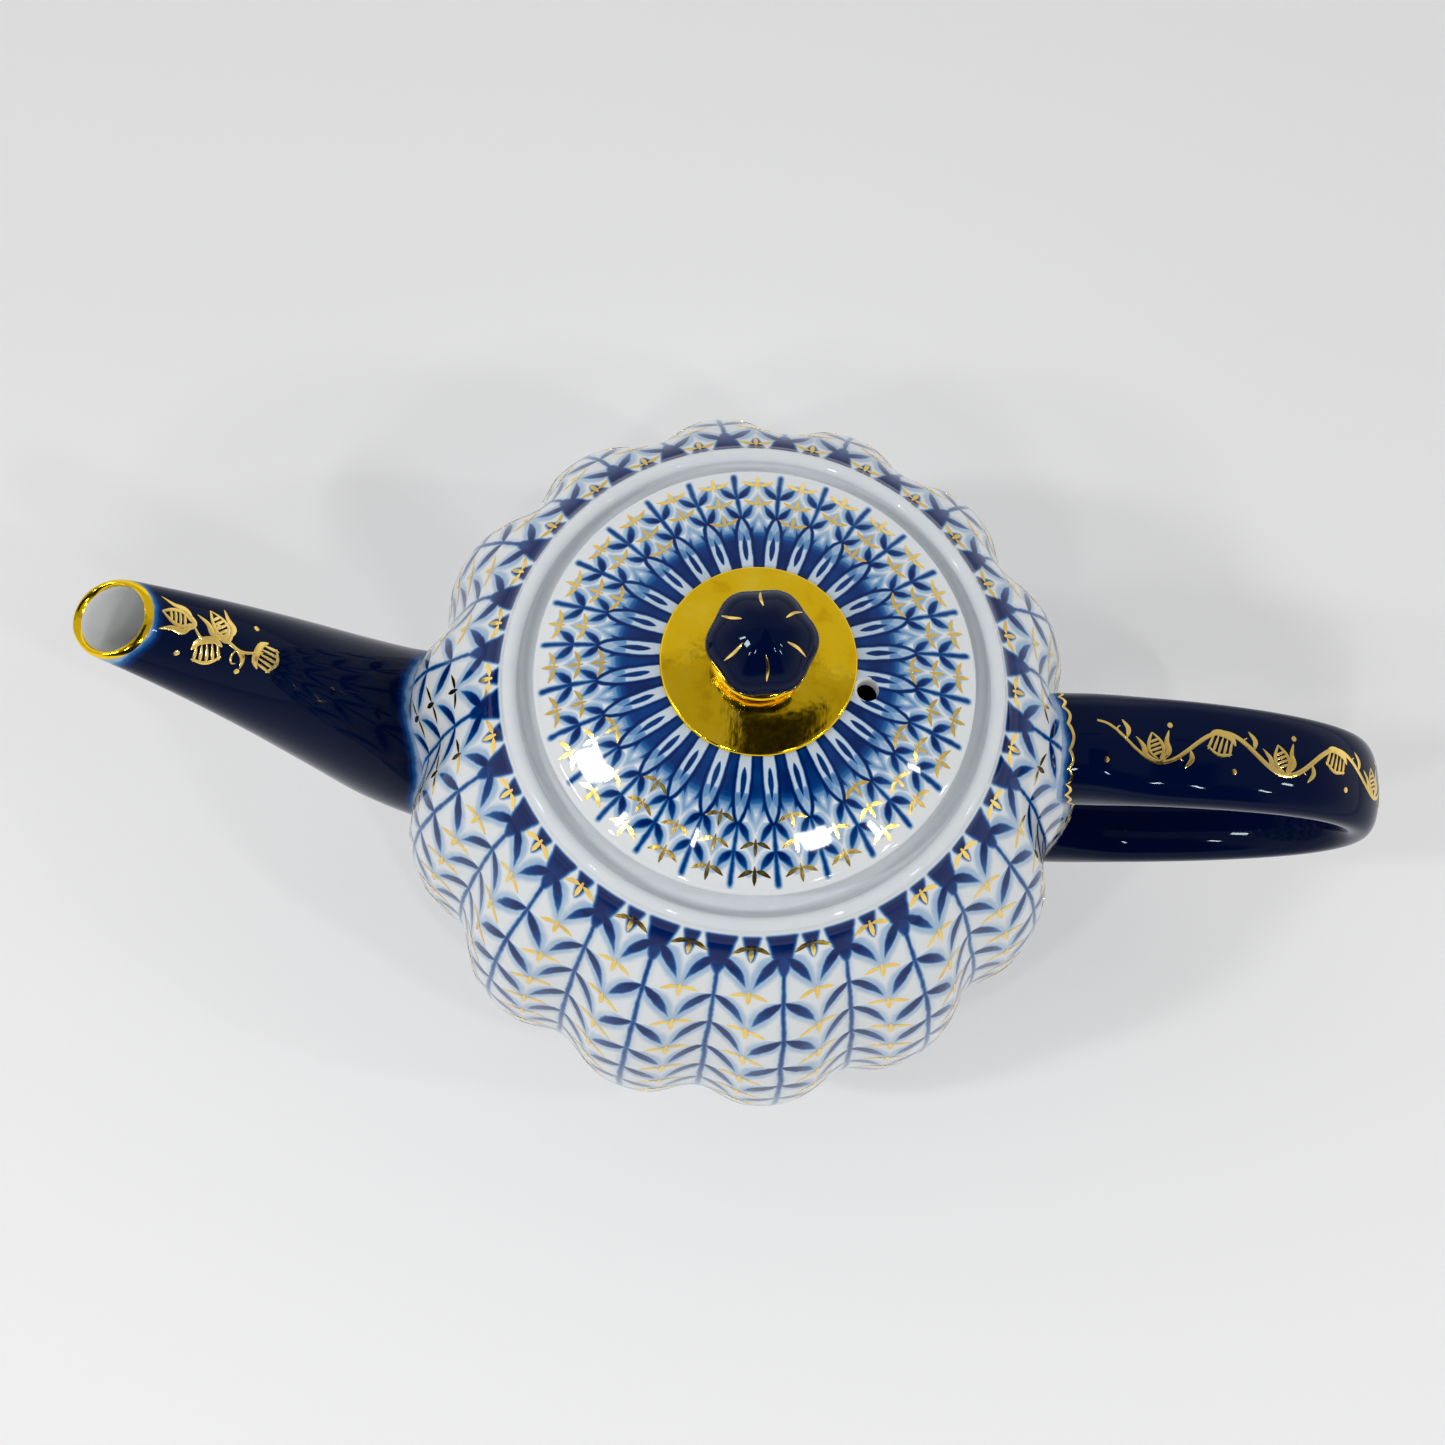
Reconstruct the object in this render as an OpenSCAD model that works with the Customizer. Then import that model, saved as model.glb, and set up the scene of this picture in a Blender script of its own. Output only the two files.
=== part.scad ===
// Fluted porcelain teapot with a lift-off lid, a bored spout and a strap handle.
// Millimetres. +Z is up, the origin is the centre of the foot ring on the table,
// the spout points to -X and the handle to +X.

/* [Body] */
// Mean radius of the belly, halfway between flute crests and valleys
belly_r = 62.5; // [58:0.5:67]
// Height of the belly above the table
belly_z = 41.5; // [38:0.5:45]
// Radius where the fluted wall runs into the rim roll
shoulder_r = 40.4; // [39:0.1:43]
// Height where the fluted wall runs into the rim roll
shoulder_z = 100.8; // [97:0.1:105]
// Fullness of the curve from belly to shoulder, higher is slimmer
shoulder_curve = 1.47; // [1.3:0.01:1.6]
// Fullness of the curve from belly to foot
foot_curve = 0.9; // [0.8:0.01:1.1]
// Number of flutes round the body
flute_count = 14; // [10:2:16]
// Turn of the first flute's crest from the handle
flute_turn = -2.5; // [-12:0.5:12]
// Depth of a flute at the belly, from crest to valley
flute_depth = 3.6; // [2:0.1:4.2]
// Height over which the flutes die out below the shoulder
flute_fade_top = 24; // [18:1:30]
// Height over which the flutes die out above the foot
flute_fade_foot = 20; // [14:1:26]
// Thickness of the cast wall
wall = 3; // [2.6:0.1:3.4]

/* [Foot ring] */
// Outer radius of the foot ring
foot_r = 34; // [31:0.5:37]
// Height of the foot ring
foot_h = 3.6; // [2.6:0.1:5]
// Width of the foot ring at its root
foot_w = 4.4; // [3.4:0.1:5.4]
// Rounding of the foot ring's standing edge
foot_round = 0.8; // [0.5:0.1:1]

/* [Rim and gallery] */
// Radius of the circle on which the rim roll's crest lies
roll_crest_r = 39; // [38.7:0.1:39.2]
// Radius of the rim roll's own section
roll_r = 1.2; // [1:0.1:1.4]
// Radius of the gutter's cove between the rim roll and the ledge
cove_r = 1.8; // [1.2:0.1:2]
// Depth of the gallery ledge below the shoulder
gallery_drop = 0.4; // [0.2:0.1:0.8]
// Radius of the mouth inside the gallery
mouth_r = 31.5; // [30.5:0.1:32.4]
// Bevel on the mouth's upper edge
mouth_bevel = 0.6; // [0.3:0.1:1]

/* [Strainer] */
// Radius of the ring of strainer holes behind the spout
strainer_ring_r = 7.5; // [6.5:0.1:8.5]
// Diameter of each strainer hole
strainer_hole_d = 4; // [3:0.1:4.6]
// Number of holes in the ring round the middle hole
strainer_holes = 6; // [5:1:7]

/* [Spout] */
// Distance of the spout mouth's centre from the pot's axis
spout_reach = 101.8; // [98:0.1:106]
// Height of the spout mouth's centre
spout_tip_z = 104.8; // [101:0.1:109]
// Height of the spout root's centre
spout_root_z = 45; // [43:0.1:48]
// Half width of the spout at its root
spout_root_half_w = 16.2; // [15.2:0.1:17]
// Half height of the spout at its root
spout_root_half_h = 19.5; // [18.5:0.1:20.5]
// Taper of the spout in plan, higher keeps it wide for longer
spout_taper = 1.2; // [0.9:0.05:1.4]
// Outer radius of the spout mouth
spout_mouth_r = 6.6; // [6:0.1:7.4]
// Wall of the spout at its root
spout_root_wall = 2.8; // [2.4:0.1:3.2]
// Wall of the spout at its lip
spout_lip_wall = 1.3; // [1.1:0.1:1.6]
// Outward tilt of the mouth's plane
spout_mouth_tilt = 12; // [0:1:20]
// Depth inside the belly at which the spout's centreline starts
spout_sink = 6.5; // [5.5:0.5:7.5]
// Length of the spout's lower bend along X
spout_bend_x = 14; // [11:0.5:17]
// Rise of the spout's lower bend
spout_bend_z = 11; // [8:0.5:14]
// Length of the spout's upper run along X
spout_run_x = 22.3; // [19:0.1:26]
// Rise of the spout's upper run
spout_run_z = 20.8; // [18:0.1:24]

/* [Handle] */
// Distance of the outermost centreline point from the pot's axis
handle_reach = 112; // [108:0.5:116]
// Height of the upper root
handle_top_z = 77.5; // [75:0.5:80]
// Height of the handle's outermost point
handle_mid_z = 63; // [60:0.5:66]
// Height of the lower root
handle_low_z = 25; // [23:0.5:28]
// Half width of the strap at the roots
strap_root_half_w = 9.6; // [9:0.1:10.4]
// Half width of the strap at its outermost point
strap_mid_half_w = 8.6; // [8:0.1:9.2]
// Half thickness of the strap at the roots
strap_root_half_t = 4.9; // [4.4:0.1:5.4]
// Half thickness of the strap at its outermost point
strap_mid_half_t = 3.7; // [3.3:0.1:4.2]
// Extra half thickness where each root flares on to the pot
strap_root_flare = 3; // [1:0.1:3.6]
// Depth inside the belly at which the upper limb's centreline starts
upper_sink = 10.5; // [9.5:0.5:11.5]
// Length of the upper limb's first bend along X
upper_bend_x = 20; // [17:0.5:23]
// Rise of the upper limb's first bend
upper_bend_z = 7.5; // [6:0.5:9]
// Height above the outermost point over which the upper limb turns down
upper_turn_z = 23; // [20:0.5:25]
// Depth inside the belly at which the lower limb's centreline ends
lower_sink = 8.5; // [7.5:0.5:9.5]
// Length of the lower limb's last bend along X
lower_bend_x = 30; // [27:0.5:33]
// Rise of the lower limb's last bend
lower_bend_z = 10; // [8:0.5:12]
// Height below the outermost point over which the lower limb turns in
lower_turn_z = 19; // [16:0.5:21]
// Squareness of the strap's section, 2 is an ellipse
strap_square = 2.5; // [2:0.1:3]

/* [Lid] */
// Outer radius of the lid
lid_r = 35; // [34.4:0.1:35.6]
// Thickness of the lid at its edge
lid_edge_h = 4.3; // [3.6:0.1:5]
// Rise of the lid's dome from its edge to its crown
lid_rise = 8.7; // [7.5:0.1:10]
// Wall of the lid
lid_wall = 3; // [2.6:0.1:3.4]
// Rounding of the lid's upper edge
lid_round = 0.9; // [0.6:0.1:1.2]
// Bevel on the lid's seat
lid_bevel = 0.6; // [0.3:0.1:0.9]
// Play between the lid and its seat
lid_play = 0.3; // [0.2:0.05:0.5]
// Play between the lid's flange and the mouth
flange_play = 0.9; // [0.6:0.1:1.4]
// Depth of the lid's flange below the gallery
flange_drop = 8; // [6:0.5:10]
// Wall of the lid's flange
flange_wall = 2.4; // [2:0.1:3]
// Taper of the flange's outside, from the seat down
flange_taper = 0.6; // [0.3:0.1:0.9]
// Bevel on the flange's lower edges
flange_bevel = 0.8; // [0.4:0.1:1]
// Diameter of the vent hole
vent_d = 3.3; // [2.5:0.1:4]
// Distance of the vent hole from the lid's axis
vent_r = 17.4; // [17.2:0.1:20]
// Direction of the vent hole, turned from the handle
vent_turn = -9; // [-60:1:60]

/* [Knob] */
// Radius of the gilded saucer under the knob
saucer_r = 15.2; // [14.4:0.1:15.3]
// Thickness of the saucer's edge
saucer_edge = 1; // [0.8:0.1:1.4]
// Overhang of the saucer past its seat on the lid
saucer_overhang = 1; // [0.5:0.1:1.5]
// Radius of the saucer's neck
neck_r = 5.6; // [5:0.1:6]
// Radius of the collar on which the bud stands
collar_r = 7.7; // [7.2:0.1:8]
// Height of the saucer from its seat to the top of the collar
saucer_h = 5.2; // [4.6:0.1:6]
// Rounding of the collar's edge
collar_round = 0.9; // [0.6:0.1:1]
// Radius of the bud at its lobes
bud_r = 8.5; // [8.2:0.1:9.4]
// Height of the bud
bud_h = 10.8; // [9.5:0.1:13]
// Radius of the bud's foot on the collar
bud_foot_r = 6.1; // [5.6:0.1:6.6]
// Share of the bud's height at which it is widest
bud_waist = 0.36; // [0.3:0.01:0.45]
// Number of lobes on the bud
bud_lobes = 6; // [5:1:8]
// Depth of the grooves between the lobes
bud_groove = 0.6; // [0.3:0.1:0.9]
// Turn of the bud's first lobe from the handle
bud_turn = 9; // [0:1:59]

/* [Joints between the cast pieces] */
// Thickness of the slip joint between luted pieces
slip = 0.1; // [0.05:0.01:0.2]

/* [Hidden] */

// Heights that follow from the driving sizes
base_z = foot_h;
gallery_z = shoulder_z - gallery_drop;
lid_seat_z = gallery_z + lid_play;
lid_edge_z = lid_seat_z + lid_edge_h;
lid_crown_z = lid_edge_z + lid_rise;
lid_dome_r = (pow(lid_r, 2) + pow(lid_rise, 2)) / (2 * lid_rise);
land_r = saucer_r - saucer_overhang;
land_z = lid_crown_z - lid_dome_r + sqrt(pow(lid_dome_r, 2) - pow(land_r, 2));
collar_z = land_z + saucer_h;

// Facets
round_fn = 160;
hole_fn = 32;
per_flute = 8;
body_n = flute_count * per_flute;
outer_rings = 22;
inner_rings = 13;
// The shell ends this far below the shoulder, inside the rim roll
shell_top_drop = 0.8;
shell_top_z = shoulder_z - shell_top_drop;
steepest_slope = 1.5;
// Half width, in facets of the shell, of the block that trims what is luted to the wall
block_facets = 8;
// Distance of that block's edge from the pot's axis
core_x = 20;
// Distance of the points that close the block above and below
core_close_x = 30;
// Depth by which each root of the handle is carried in before it is trimmed
root_depth = 5;
// Share of the second harmonic that broadens the flutes' crests
crest_share = 0.15;
// Step up and down over which the wall's slope is measured
slope_step = 0.2;
// Overlap where two parts of one casting run into each other
weld = 0.1;
spout_n = 24;
spout_steps = 17;
strap_n = 20;
strap_steps = 17;
bud_n = bud_lobes * 8;
bud_steps = 12;
dome_steps = 16;
hollow_steps = 8;
flare_steps = 12;

function smooth(s) = let (c = min(1, max(0, s))) c * c * (3 - 2 * c);
function blend(a, b, s) = a + (b - a) * s;

// ---- The fluted wall: radius of the outside at a height and a direction

// Wave of one flute, broad at the crest and narrower in the valley
function flute_wave(turn) =
    let (phase = flute_count * (turn - flute_turn))
    cos(phase) - crest_share * cos(2 * phase);

function flute_fade(z) =
    smooth((shoulder_z - z) / flute_fade_top) * smooth((z - base_z) / flute_fade_foot);

function mean_r(z) =
    let (
        above = z >= belly_z,
        s = above ? (z - belly_z) / (shoulder_z - belly_z) : (belly_z - z) / (belly_z - base_z),
        c = sqrt(max(0, 1 - s * s))
    )
    above ? blend(shoulder_r, belly_r, pow(c, shoulder_curve)) : blend(foot_r, belly_r, pow(c, foot_curve));

function outer_r(z, turn) = mean_r(z) + flute_fade(z) * flute_wave(turn) * flute_depth / 2;

// Slope of the mean profile, held down near its two ends
function slope(z) = min(steepest_slope, abs(mean_r(z + slope_step) - mean_r(z - slope_step)) / (2 * slope_step));

function inner_r(z, turn) = outer_r(z, turn) - wall * sqrt(1 + pow(slope(z), 2));

// ---- Skins: closed surfaces through rings of points

function wall_faces(rows, n, wrap) =
    [for (j = [0 : rows - (wrap ? 1 : 2)], i = [0 : n - 1])
        let (
            k = (i + 1) % n,
            a = j * n,
            b = ((j + 1) % rows) * n
        )
        each [[a + i, b + i, b + k], [a + i, b + k, a + k]]];

// A solid through rings, closed by a fan to one point at each end
module fan_skin(rings, start, end) {
    n = len(rings[0]);
    rows = len(rings);
    points = concat([for (ring = rings) each ring], [start, end]);
    first = rows * n;
    start_fan = [for (i = [0 : n - 1]) [first, i, (i + 1) % n]];
    end_fan = [for (i = [0 : n - 1]) [first + 1, first - n + (i + 1) % n, first - n + i]];
    polyhedron(points, concat(wall_faces(rows, n, false), start_fan, end_fan), convexity = 10);
}

// A tube through rings whose last ring joins the first
module loop_skin(rings) {
    n = len(rings[0]);
    polyhedron([for (ring = rings) each ring], wall_faces(len(rings), n, true), convexity = 10);
}

// ---- Cubic curves in the XZ plane

function bezier(p, t) =
    pow(1 - t, 3) * p[0] + 3 * pow(1 - t, 2) * t * p[1] + 3 * (1 - t) * t * t * p[2] + pow(t, 3) * p[3];
function bezier_turn(p, t) =
    let (d = pow(1 - t, 2) * (p[1] - p[0]) + 2 * (1 - t) * t * (p[2] - p[1]) + t * t * (p[3] - p[2]))
    atan2(d[1], d[0]);

// One ring across a curve: its plane stands across the direction `turn`
function superellipse(a, power) =
    [sign(cos(a)) * pow(abs(cos(a)), 2 / power), sign(sin(a)) * pow(abs(sin(a)), 2 / power)];
function cross_ring(centre, turn, half_w, half_h, power, n) =
    [for (i = [0 : n - 1])
        let (e = superellipse(360 * i / n, power))
        [
            centre[0] - sin(turn) * half_h * e[0],
            -half_w * e[1],
            centre[1] + cos(turn) * half_h * e[0]
        ]];
// The same ring carried straight in towards the pot's axis, from the side it stands on
function carried_in(ring, side) = [for (p = ring) p - [side * root_depth, 0, 0]];

// Heights of the shell's rings, closer together towards its top and its foot
outer_heights = [for (k = [0 : outer_rings - 1])
    let (a = blend(-90, 90, k / (outer_rings - 1)))
    belly_z + (a < 0 ? belly_z - base_z : shell_top_z - belly_z) * sin(a)];

// The pot's bulk out to the wall on one side, which trims what is luted there. It has the shell's
// own facets, a slip joint further out, so the joint follows flute by flute.
module wall_block(side) {
    core = [side * core_x, 0];
    low_point = [side * core_close_x, 0, outer_heights[0]];
    top_point = [side * core_close_x, 0, outer_heights[outer_rings - 1]];
    middle = side > 0 ? 0 : body_n / 2;
    rings = [for (z = outer_heights)
        concat(
            [[core[0], core[1], z]],
            [for (i = [middle - block_facets : middle + block_facets])
                let (turn = 360 * i / body_n, r = outer_r(z, turn) + slip)
                [r * cos(turn), r * sin(turn), z]]
        )];
    fan_skin(rings, low_point, top_point);
}

// ---- Pot body: fluted shell with its rim roll, gallery and strainer

function shell_ring(z, outside) =
    [for (i = [0 : body_n - 1])
        let (turn = 360 * i / body_n, r = outside ? outer_r(z, turn) : inner_r(z, turn))
        [r * cos(turn), r * sin(turn), z]];

module fluted_shell() {
    floor_z = base_z + wall;
    // The inside's lowest ring stands just off the pole, clear of the floor's centre
    low = -88;
    inner_heights = [for (k = [0 : inner_rings - 1])
        let (a = blend(90, low, k / (inner_rings - 1)))
        a < 0 ? belly_z + (belly_z - floor_z) * sin(a) / sin(-low) : belly_z + (shell_top_z - belly_z) * sin(a)];
    rings = concat(
        [for (z = outer_heights) shell_ring(z, true)],
        [for (z = inner_heights) shell_ring(z, false)]
    );
    fan_skin(rings, [0, 0, base_z], [0, 0, floor_z]);
}

module rim() {
    roll_z = gallery_z + cove_r;
    inside_r = roll_crest_r - roll_r;
    underside_z = gallery_z - wall;
    root_r = mean_r(shell_top_z) - weld;
    root_top_z = shell_top_z - weld / 5;
    roll = [for (a = [0 : 10 : 180]) [roll_crest_r + roll_r * cos(a), roll_z + roll_r * sin(a)]];
    cove = [for (a = [0 : -15 : -90]) [inside_r - cove_r + cove_r * cos(a), roll_z + cove_r * sin(a)]];
    rotate_extrude($fn = round_fn)
        polygon(concat(
            [[mouth_r, underside_z], [root_r, underside_z], [root_r, root_top_z]],
            roll,
            cove,
            [[mouth_r + mouth_bevel, gallery_z], [mouth_r, gallery_z - mouth_bevel]]
        ));
}

module strainer() {
    reach = belly_r + flute_depth + wall;
    rotate([0, -90, 0]) {
        cylinder(d = strainer_hole_d, h = reach, $fn = hole_fn);
        for (k = [0 : strainer_holes - 1])
            rotate(k * 360 / strainer_holes)
                translate([strainer_ring_r, 0, 0])
                    cylinder(d = strainer_hole_d, h = reach, $fn = hole_fn);
    }
}

module pot_body()
    color("white")
        difference() {
            union() {
                fluted_shell();
                rim();
            }
            translate([0, 0, spout_root_z])
                strainer();
        }

// ---- Foot ring: tapered, with a rounded standing edge

module foot_ring() {
    foot_taper = 0.5;
    inner = foot_r - foot_w;
    lip_out = foot_r - foot_taper;
    lip_in = inner + foot_taper;
    outer_round = [for (a = [0 : -15 : -90])
        [lip_out - foot_round + foot_round * cos(a), foot_round + foot_round * sin(a)]];
    inner_round = [for (a = [-90 : -15 : -180])
        [lip_in + foot_round + foot_round * cos(a), foot_round + foot_round * sin(a)]];
    color("gainsboro")
        rotate_extrude($fn = round_fn)
            polygon(concat([[inner, base_z], [foot_r, base_z]], outer_round, inner_round));
}

// ---- Spout: a bored tube that starts on the pot's wall and ends in a level mouth

function spout_path() =
    let (root = [-(belly_r - spout_sink), spout_root_z], tip = [-spout_reach, spout_tip_z])
    [root, root + [-spout_bend_x, spout_bend_z], tip + [spout_run_x, -spout_run_z], tip];
// Shares of the spout over which its rings turn from the wall, and from which they turn to the mouth
root_share = 0.3;
mouth_share = 0.6;
// Direction across which the ring at t stands: level at the root, the mouth's own at the tip
function spout_turn(t) =
    let (
        along = bezier_turn(spout_path(), t),
        from_root = blend(180, along, smooth(t / root_share))
    )
    blend(from_root, 90 + spout_mouth_tilt, smooth((t - mouth_share) / (1 - mouth_share)));
// Least share of the wall that a ring askew to the curve keeps in height
least_skew = 0.8;
function spout_ring(t, inset) =
    let (
        turn = spout_turn(t),
        skew = cos(turn - bezier_turn(spout_path(), t)),
        half_w = blend(spout_root_half_w, spout_mouth_r, pow(t, spout_taper)),
        round_h = blend(spout_root_half_h, spout_root_half_w, smooth(2 * t)),
        half_h = blend(round_h, spout_mouth_r, t)
    )
    cross_ring(bezier(spout_path(), t), turn, half_w - inset, half_h - inset * max(least_skew, skew), 2, spout_n);

module spout() {
    lip_round = spout_lip_wall / 5;
    last = 0.985;
    wall_at = function (t) blend(spout_root_wall, spout_lip_wall, t);
    outside = [for (k = [0 : spout_steps]) spout_ring(last * k / spout_steps, 0)];
    lip = [spout_ring(1, lip_round), spout_ring(1, spout_lip_wall - lip_round)];
    inside = [for (k = [spout_steps : -1 : 0])
        let (t = last * k / spout_steps)
        spout_ring(t, wall_at(t))];
    color("midnightblue")
        difference() {
            loop_skin(concat(outside, lip, inside));
            wall_block(-1);
        }
}

// ---- Handle: a strap bent in a loop, with both roots seated on the pot's wall

function handle_end() = [handle_reach, handle_mid_z];
function upper_limb() =
    let (root = [belly_r - upper_sink, handle_top_z])
    [root, root + [upper_bend_x, upper_bend_z], handle_end() + [0, upper_turn_z], handle_end()];
function lower_limb() =
    let (root = [belly_r - lower_sink, handle_low_z])
    [handle_end(), handle_end() - [0, lower_turn_z], root + [lower_bend_x, lower_bend_z], root];
// Share of a root's size that the strap still has at a distance along the curve from its root
swell_share = 0.85;
flare_share = 0.24;
function root_swell(u) = pow(1 - smooth(u / swell_share), 1.5);
function root_flare(u) = strap_root_flare * pow(1 - smooth(u / flare_share), 2);
function strap_ring(limb, t, u) =
    cross_ring(
        bezier(limb, t),
        bezier_turn(limb, t),
        blend(strap_mid_half_w, strap_root_half_w, root_swell(u)),
        blend(strap_mid_half_t, strap_root_half_t, root_swell(u)) + root_flare(u),
        strap_square,
        strap_n
    );

module handle() {
    top = upper_limb();
    low = lower_limb();
    // Shares of the limbs at which they leave the wall
    top_root_t = 0.1;
    low_root_t = 0.88;
    // Rings are closer together near the roots
    crowd = 1.2;
    top_run = [for (k = [0 : strap_steps])
        let (t = pow(k / strap_steps, crowd))
        strap_ring(top, t, max(0, t - top_root_t))];
    low_run = [for (k = [1 : strap_steps])
        let (t = 1 - pow(1 - k / strap_steps, crowd))
        strap_ring(low, t, max(0, low_root_t - t))];
    rings = concat([carried_in(top_run[0], 1)], top_run, low_run, [carried_in(low_run[strap_steps - 1], 1)]);
    color("midnightblue")
        difference() {
            fan_skin(
                rings,
                [belly_r - upper_sink - root_depth, 0, handle_top_z],
                [belly_r - lower_sink - root_depth, 0, handle_low_z]
            );
            wall_block(1);
        }
}

// ---- Lid: a dome with a flat land for the knob, a vent and a seat on the gallery

function dome_z(r, drop) =
    lid_crown_z - lid_dome_r + sqrt(pow(lid_dome_r - drop, 2) - r * r);

module lid() {
    shoulder = lid_r - lid_round;
    // The edge draws in by this much below its rounding
    edge_draw = 0.7;
    // Ledge between the flange and the hollow under the dome
    hollow_ledge = 1;
    flank = lid_r - edge_draw;
    hollow_r = mouth_r - flange_play - flange_wall - hollow_ledge;
    dome = [for (k = [0 : dome_steps])
        let (r = blend(shoulder, land_r, k / dome_steps))
        [r, dome_z(r, 0)]];
    edge = [for (a = [-30 : 15 : 75])
        [shoulder + lid_round * cos(a), dome_z(shoulder, 0) - lid_round + lid_round * sin(a)]];
    hollow = [for (k = [0 : hollow_steps])
        let (r = blend(0, hollow_r, k / hollow_steps))
        [r, dome_z(r, lid_wall)]];
    color("aliceblue")
        difference() {
            rotate_extrude($fn = round_fn)
                polygon(concat(
                    [[hollow_r, lid_seat_z], [flank - lid_bevel, lid_seat_z], [flank, lid_seat_z + lid_bevel]],
                    edge,
                    dome,
                    [[0, land_z]],
                    hollow
                ));
            rotate(vent_turn)
                translate([vent_r, 0, lid_seat_z])
                    cylinder(d = vent_d, h = lid_rise + lid_edge_h, $fn = hole_fn);
        }
}

// ---- Lid flange: the collar that keeps the lid in the mouth

module lid_flange() {
    outside = mouth_r - flange_play;
    inside = outside - flange_wall;
    bottom = gallery_z - flange_drop;
    foot_r_out = outside - flange_taper;
    color("white")
        rotate_extrude($fn = round_fn)
            polygon([
                [inside, lid_seat_z],
                [inside, bottom + flange_bevel],
                [inside + flange_bevel, bottom],
                [foot_r_out - flange_bevel, bottom],
                [foot_r_out, bottom + flange_bevel],
                [outside, lid_seat_z]
            ]);
}

// ---- Knob saucer: the gilded foot of the knob, flared on to the lid

module knob_saucer() {
    // The rim of the saucer is rounded under and over
    rim_under = 0.3;
    rim_over = 0.6;
    // The neck is narrowest this far below the collar's top
    collar_h = 2.2;
    edge_top = land_z + saucer_edge;
    neck_z = collar_z - collar_h;
    flare = [for (k = [0 : flare_steps])
        let (a = 90 * k / flare_steps)
        [blend(saucer_r - rim_over, neck_r, sin(a)), blend(edge_top, neck_z, 1 - cos(a))]];
    collar = [for (a = [-60 : 20 : 90])
        [collar_r + collar_round * (cos(a) - 1), collar_z + collar_round * (sin(a) - 1)]];
    color("gold")
        rotate_extrude($fn = round_fn)
            polygon(concat(
                [[0, land_z], [land_r, land_z]],
                [[saucer_r - rim_under, land_z + weld], [saucer_r, land_z + saucer_edge / 2]],
                flare,
                collar,
                [[0, collar_z]]
            ));
}

// ---- Knob bud: a lobed bud standing on the collar

module knob_bud() {
    // Fullness of the bud above its widest ring, lower is fuller
    crown = 0.62;
    // Share of the height over which the grooves deepen from the foot
    groove_share = 0.25;
    // Softness of the grooves between the lobes, lower is sharper
    softness = 1.8;
    // The last ring stands this share of the height up, just off the tip
    last = 0.985;
    ring_at = function (s)
        let (
            z = collar_z + bud_h * s,
            swell = s < bud_waist
                ? blend(bud_foot_r, bud_r, sin(90 * s / bud_waist))
                : bud_r * pow(cos(90 * (s - bud_waist) / (1 - bud_waist)), crown),
            depth = bud_groove * smooth(s / groove_share) * swell / bud_r
        )
        [for (i = [0 : bud_n - 1])
            let (
                a = 360 * i / bud_n,
                r = swell - depth * (1 - pow(abs(cos(bud_lobes * a / 2)), softness))
            )
            [r * cos(a + bud_turn), r * sin(a + bud_turn), z]];
    color("midnightblue")
        fan_skin(
            [for (k = [0 : bud_steps]) ring_at(last * sin(90 * k / bud_steps))],
            [0, 0, collar_z],
            [0, 0, collar_z + bud_h]
        );
}

pot_body();
foot_ring();
spout();
handle();
lid();
lid_flange();
knob_saucer();
knob_bud();
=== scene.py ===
"""Dresses a fluted porcelain teapot: painted bowl and lid, cobalt spout and handle, gilded knob.

The classes hold their sizes in millimetres, as the part's source does. Meshes are made in metres, in
the frame's own place: +Z is up, the spout points to -X and the handle to +X.
"""

from __future__ import annotations

import logging
import math
from abc import ABC, abstractmethod
from dataclasses import dataclass, replace
from enum import Enum
from typing import Iterable, Sequence

import bpy
import numpy as np
from mathutils import Euler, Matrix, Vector

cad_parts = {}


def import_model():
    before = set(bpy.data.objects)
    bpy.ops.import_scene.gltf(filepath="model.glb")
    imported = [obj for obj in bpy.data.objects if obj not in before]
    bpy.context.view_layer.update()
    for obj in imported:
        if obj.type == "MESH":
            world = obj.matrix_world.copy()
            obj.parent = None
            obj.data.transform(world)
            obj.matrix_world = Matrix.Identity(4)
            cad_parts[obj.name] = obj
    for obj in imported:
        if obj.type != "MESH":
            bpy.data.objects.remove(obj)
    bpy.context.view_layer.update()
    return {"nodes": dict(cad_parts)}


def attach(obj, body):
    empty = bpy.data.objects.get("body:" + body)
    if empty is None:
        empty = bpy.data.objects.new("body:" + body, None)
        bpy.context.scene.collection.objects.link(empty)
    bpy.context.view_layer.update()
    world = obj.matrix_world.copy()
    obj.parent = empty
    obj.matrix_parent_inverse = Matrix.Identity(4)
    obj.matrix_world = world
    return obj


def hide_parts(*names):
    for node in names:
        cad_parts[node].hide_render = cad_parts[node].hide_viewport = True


MM = 0.001
TAU = 2 * math.pi
DOUBLES = 0.002  # millimetres within which two vertices are one

Piece = bpy.types.Object
Tree = bpy.types.NodeTree
Shader = bpy.types.ShaderNode
Socket = bpy.types.NodeSocket
Array = np.ndarray
Colour = tuple[float, float, float]
Spot = tuple[float, float]
Span = tuple[float, float]

log = logging.getLogger("teapot")


# ---- Curves and eases ----


def smooth(share: Array | float) -> Array | float:
    """A share from 0 to 1, eased at both ends."""
    held = np.clip(share, 0.0, 1.0)
    return held * held * (3 - 2 * held)


def blend(start: Array | float, end: Array | float, share: Array | float) -> Array | float:
    """The value a share of the way from start to end."""
    return start + (end - start) * share


def arc(centre: Spot, radius: float, first: float, last: float, count: int) -> list[Spot]:
    """Points on an arc of a section.

    Args:
        centre: Radius and height of the arc's centre.
        radius: Radius of the arc.
        first: Direction of the first point, in degrees from outwards.
        last: Direction of the last point.
        count: Number of points.

    Returns:
        The points as (radius, height).
    """
    turns = np.radians(np.linspace(first, last, count))
    return [(centre[0] + radius * math.cos(a), centre[1] + radius * math.sin(a)) for a in turns]


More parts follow.
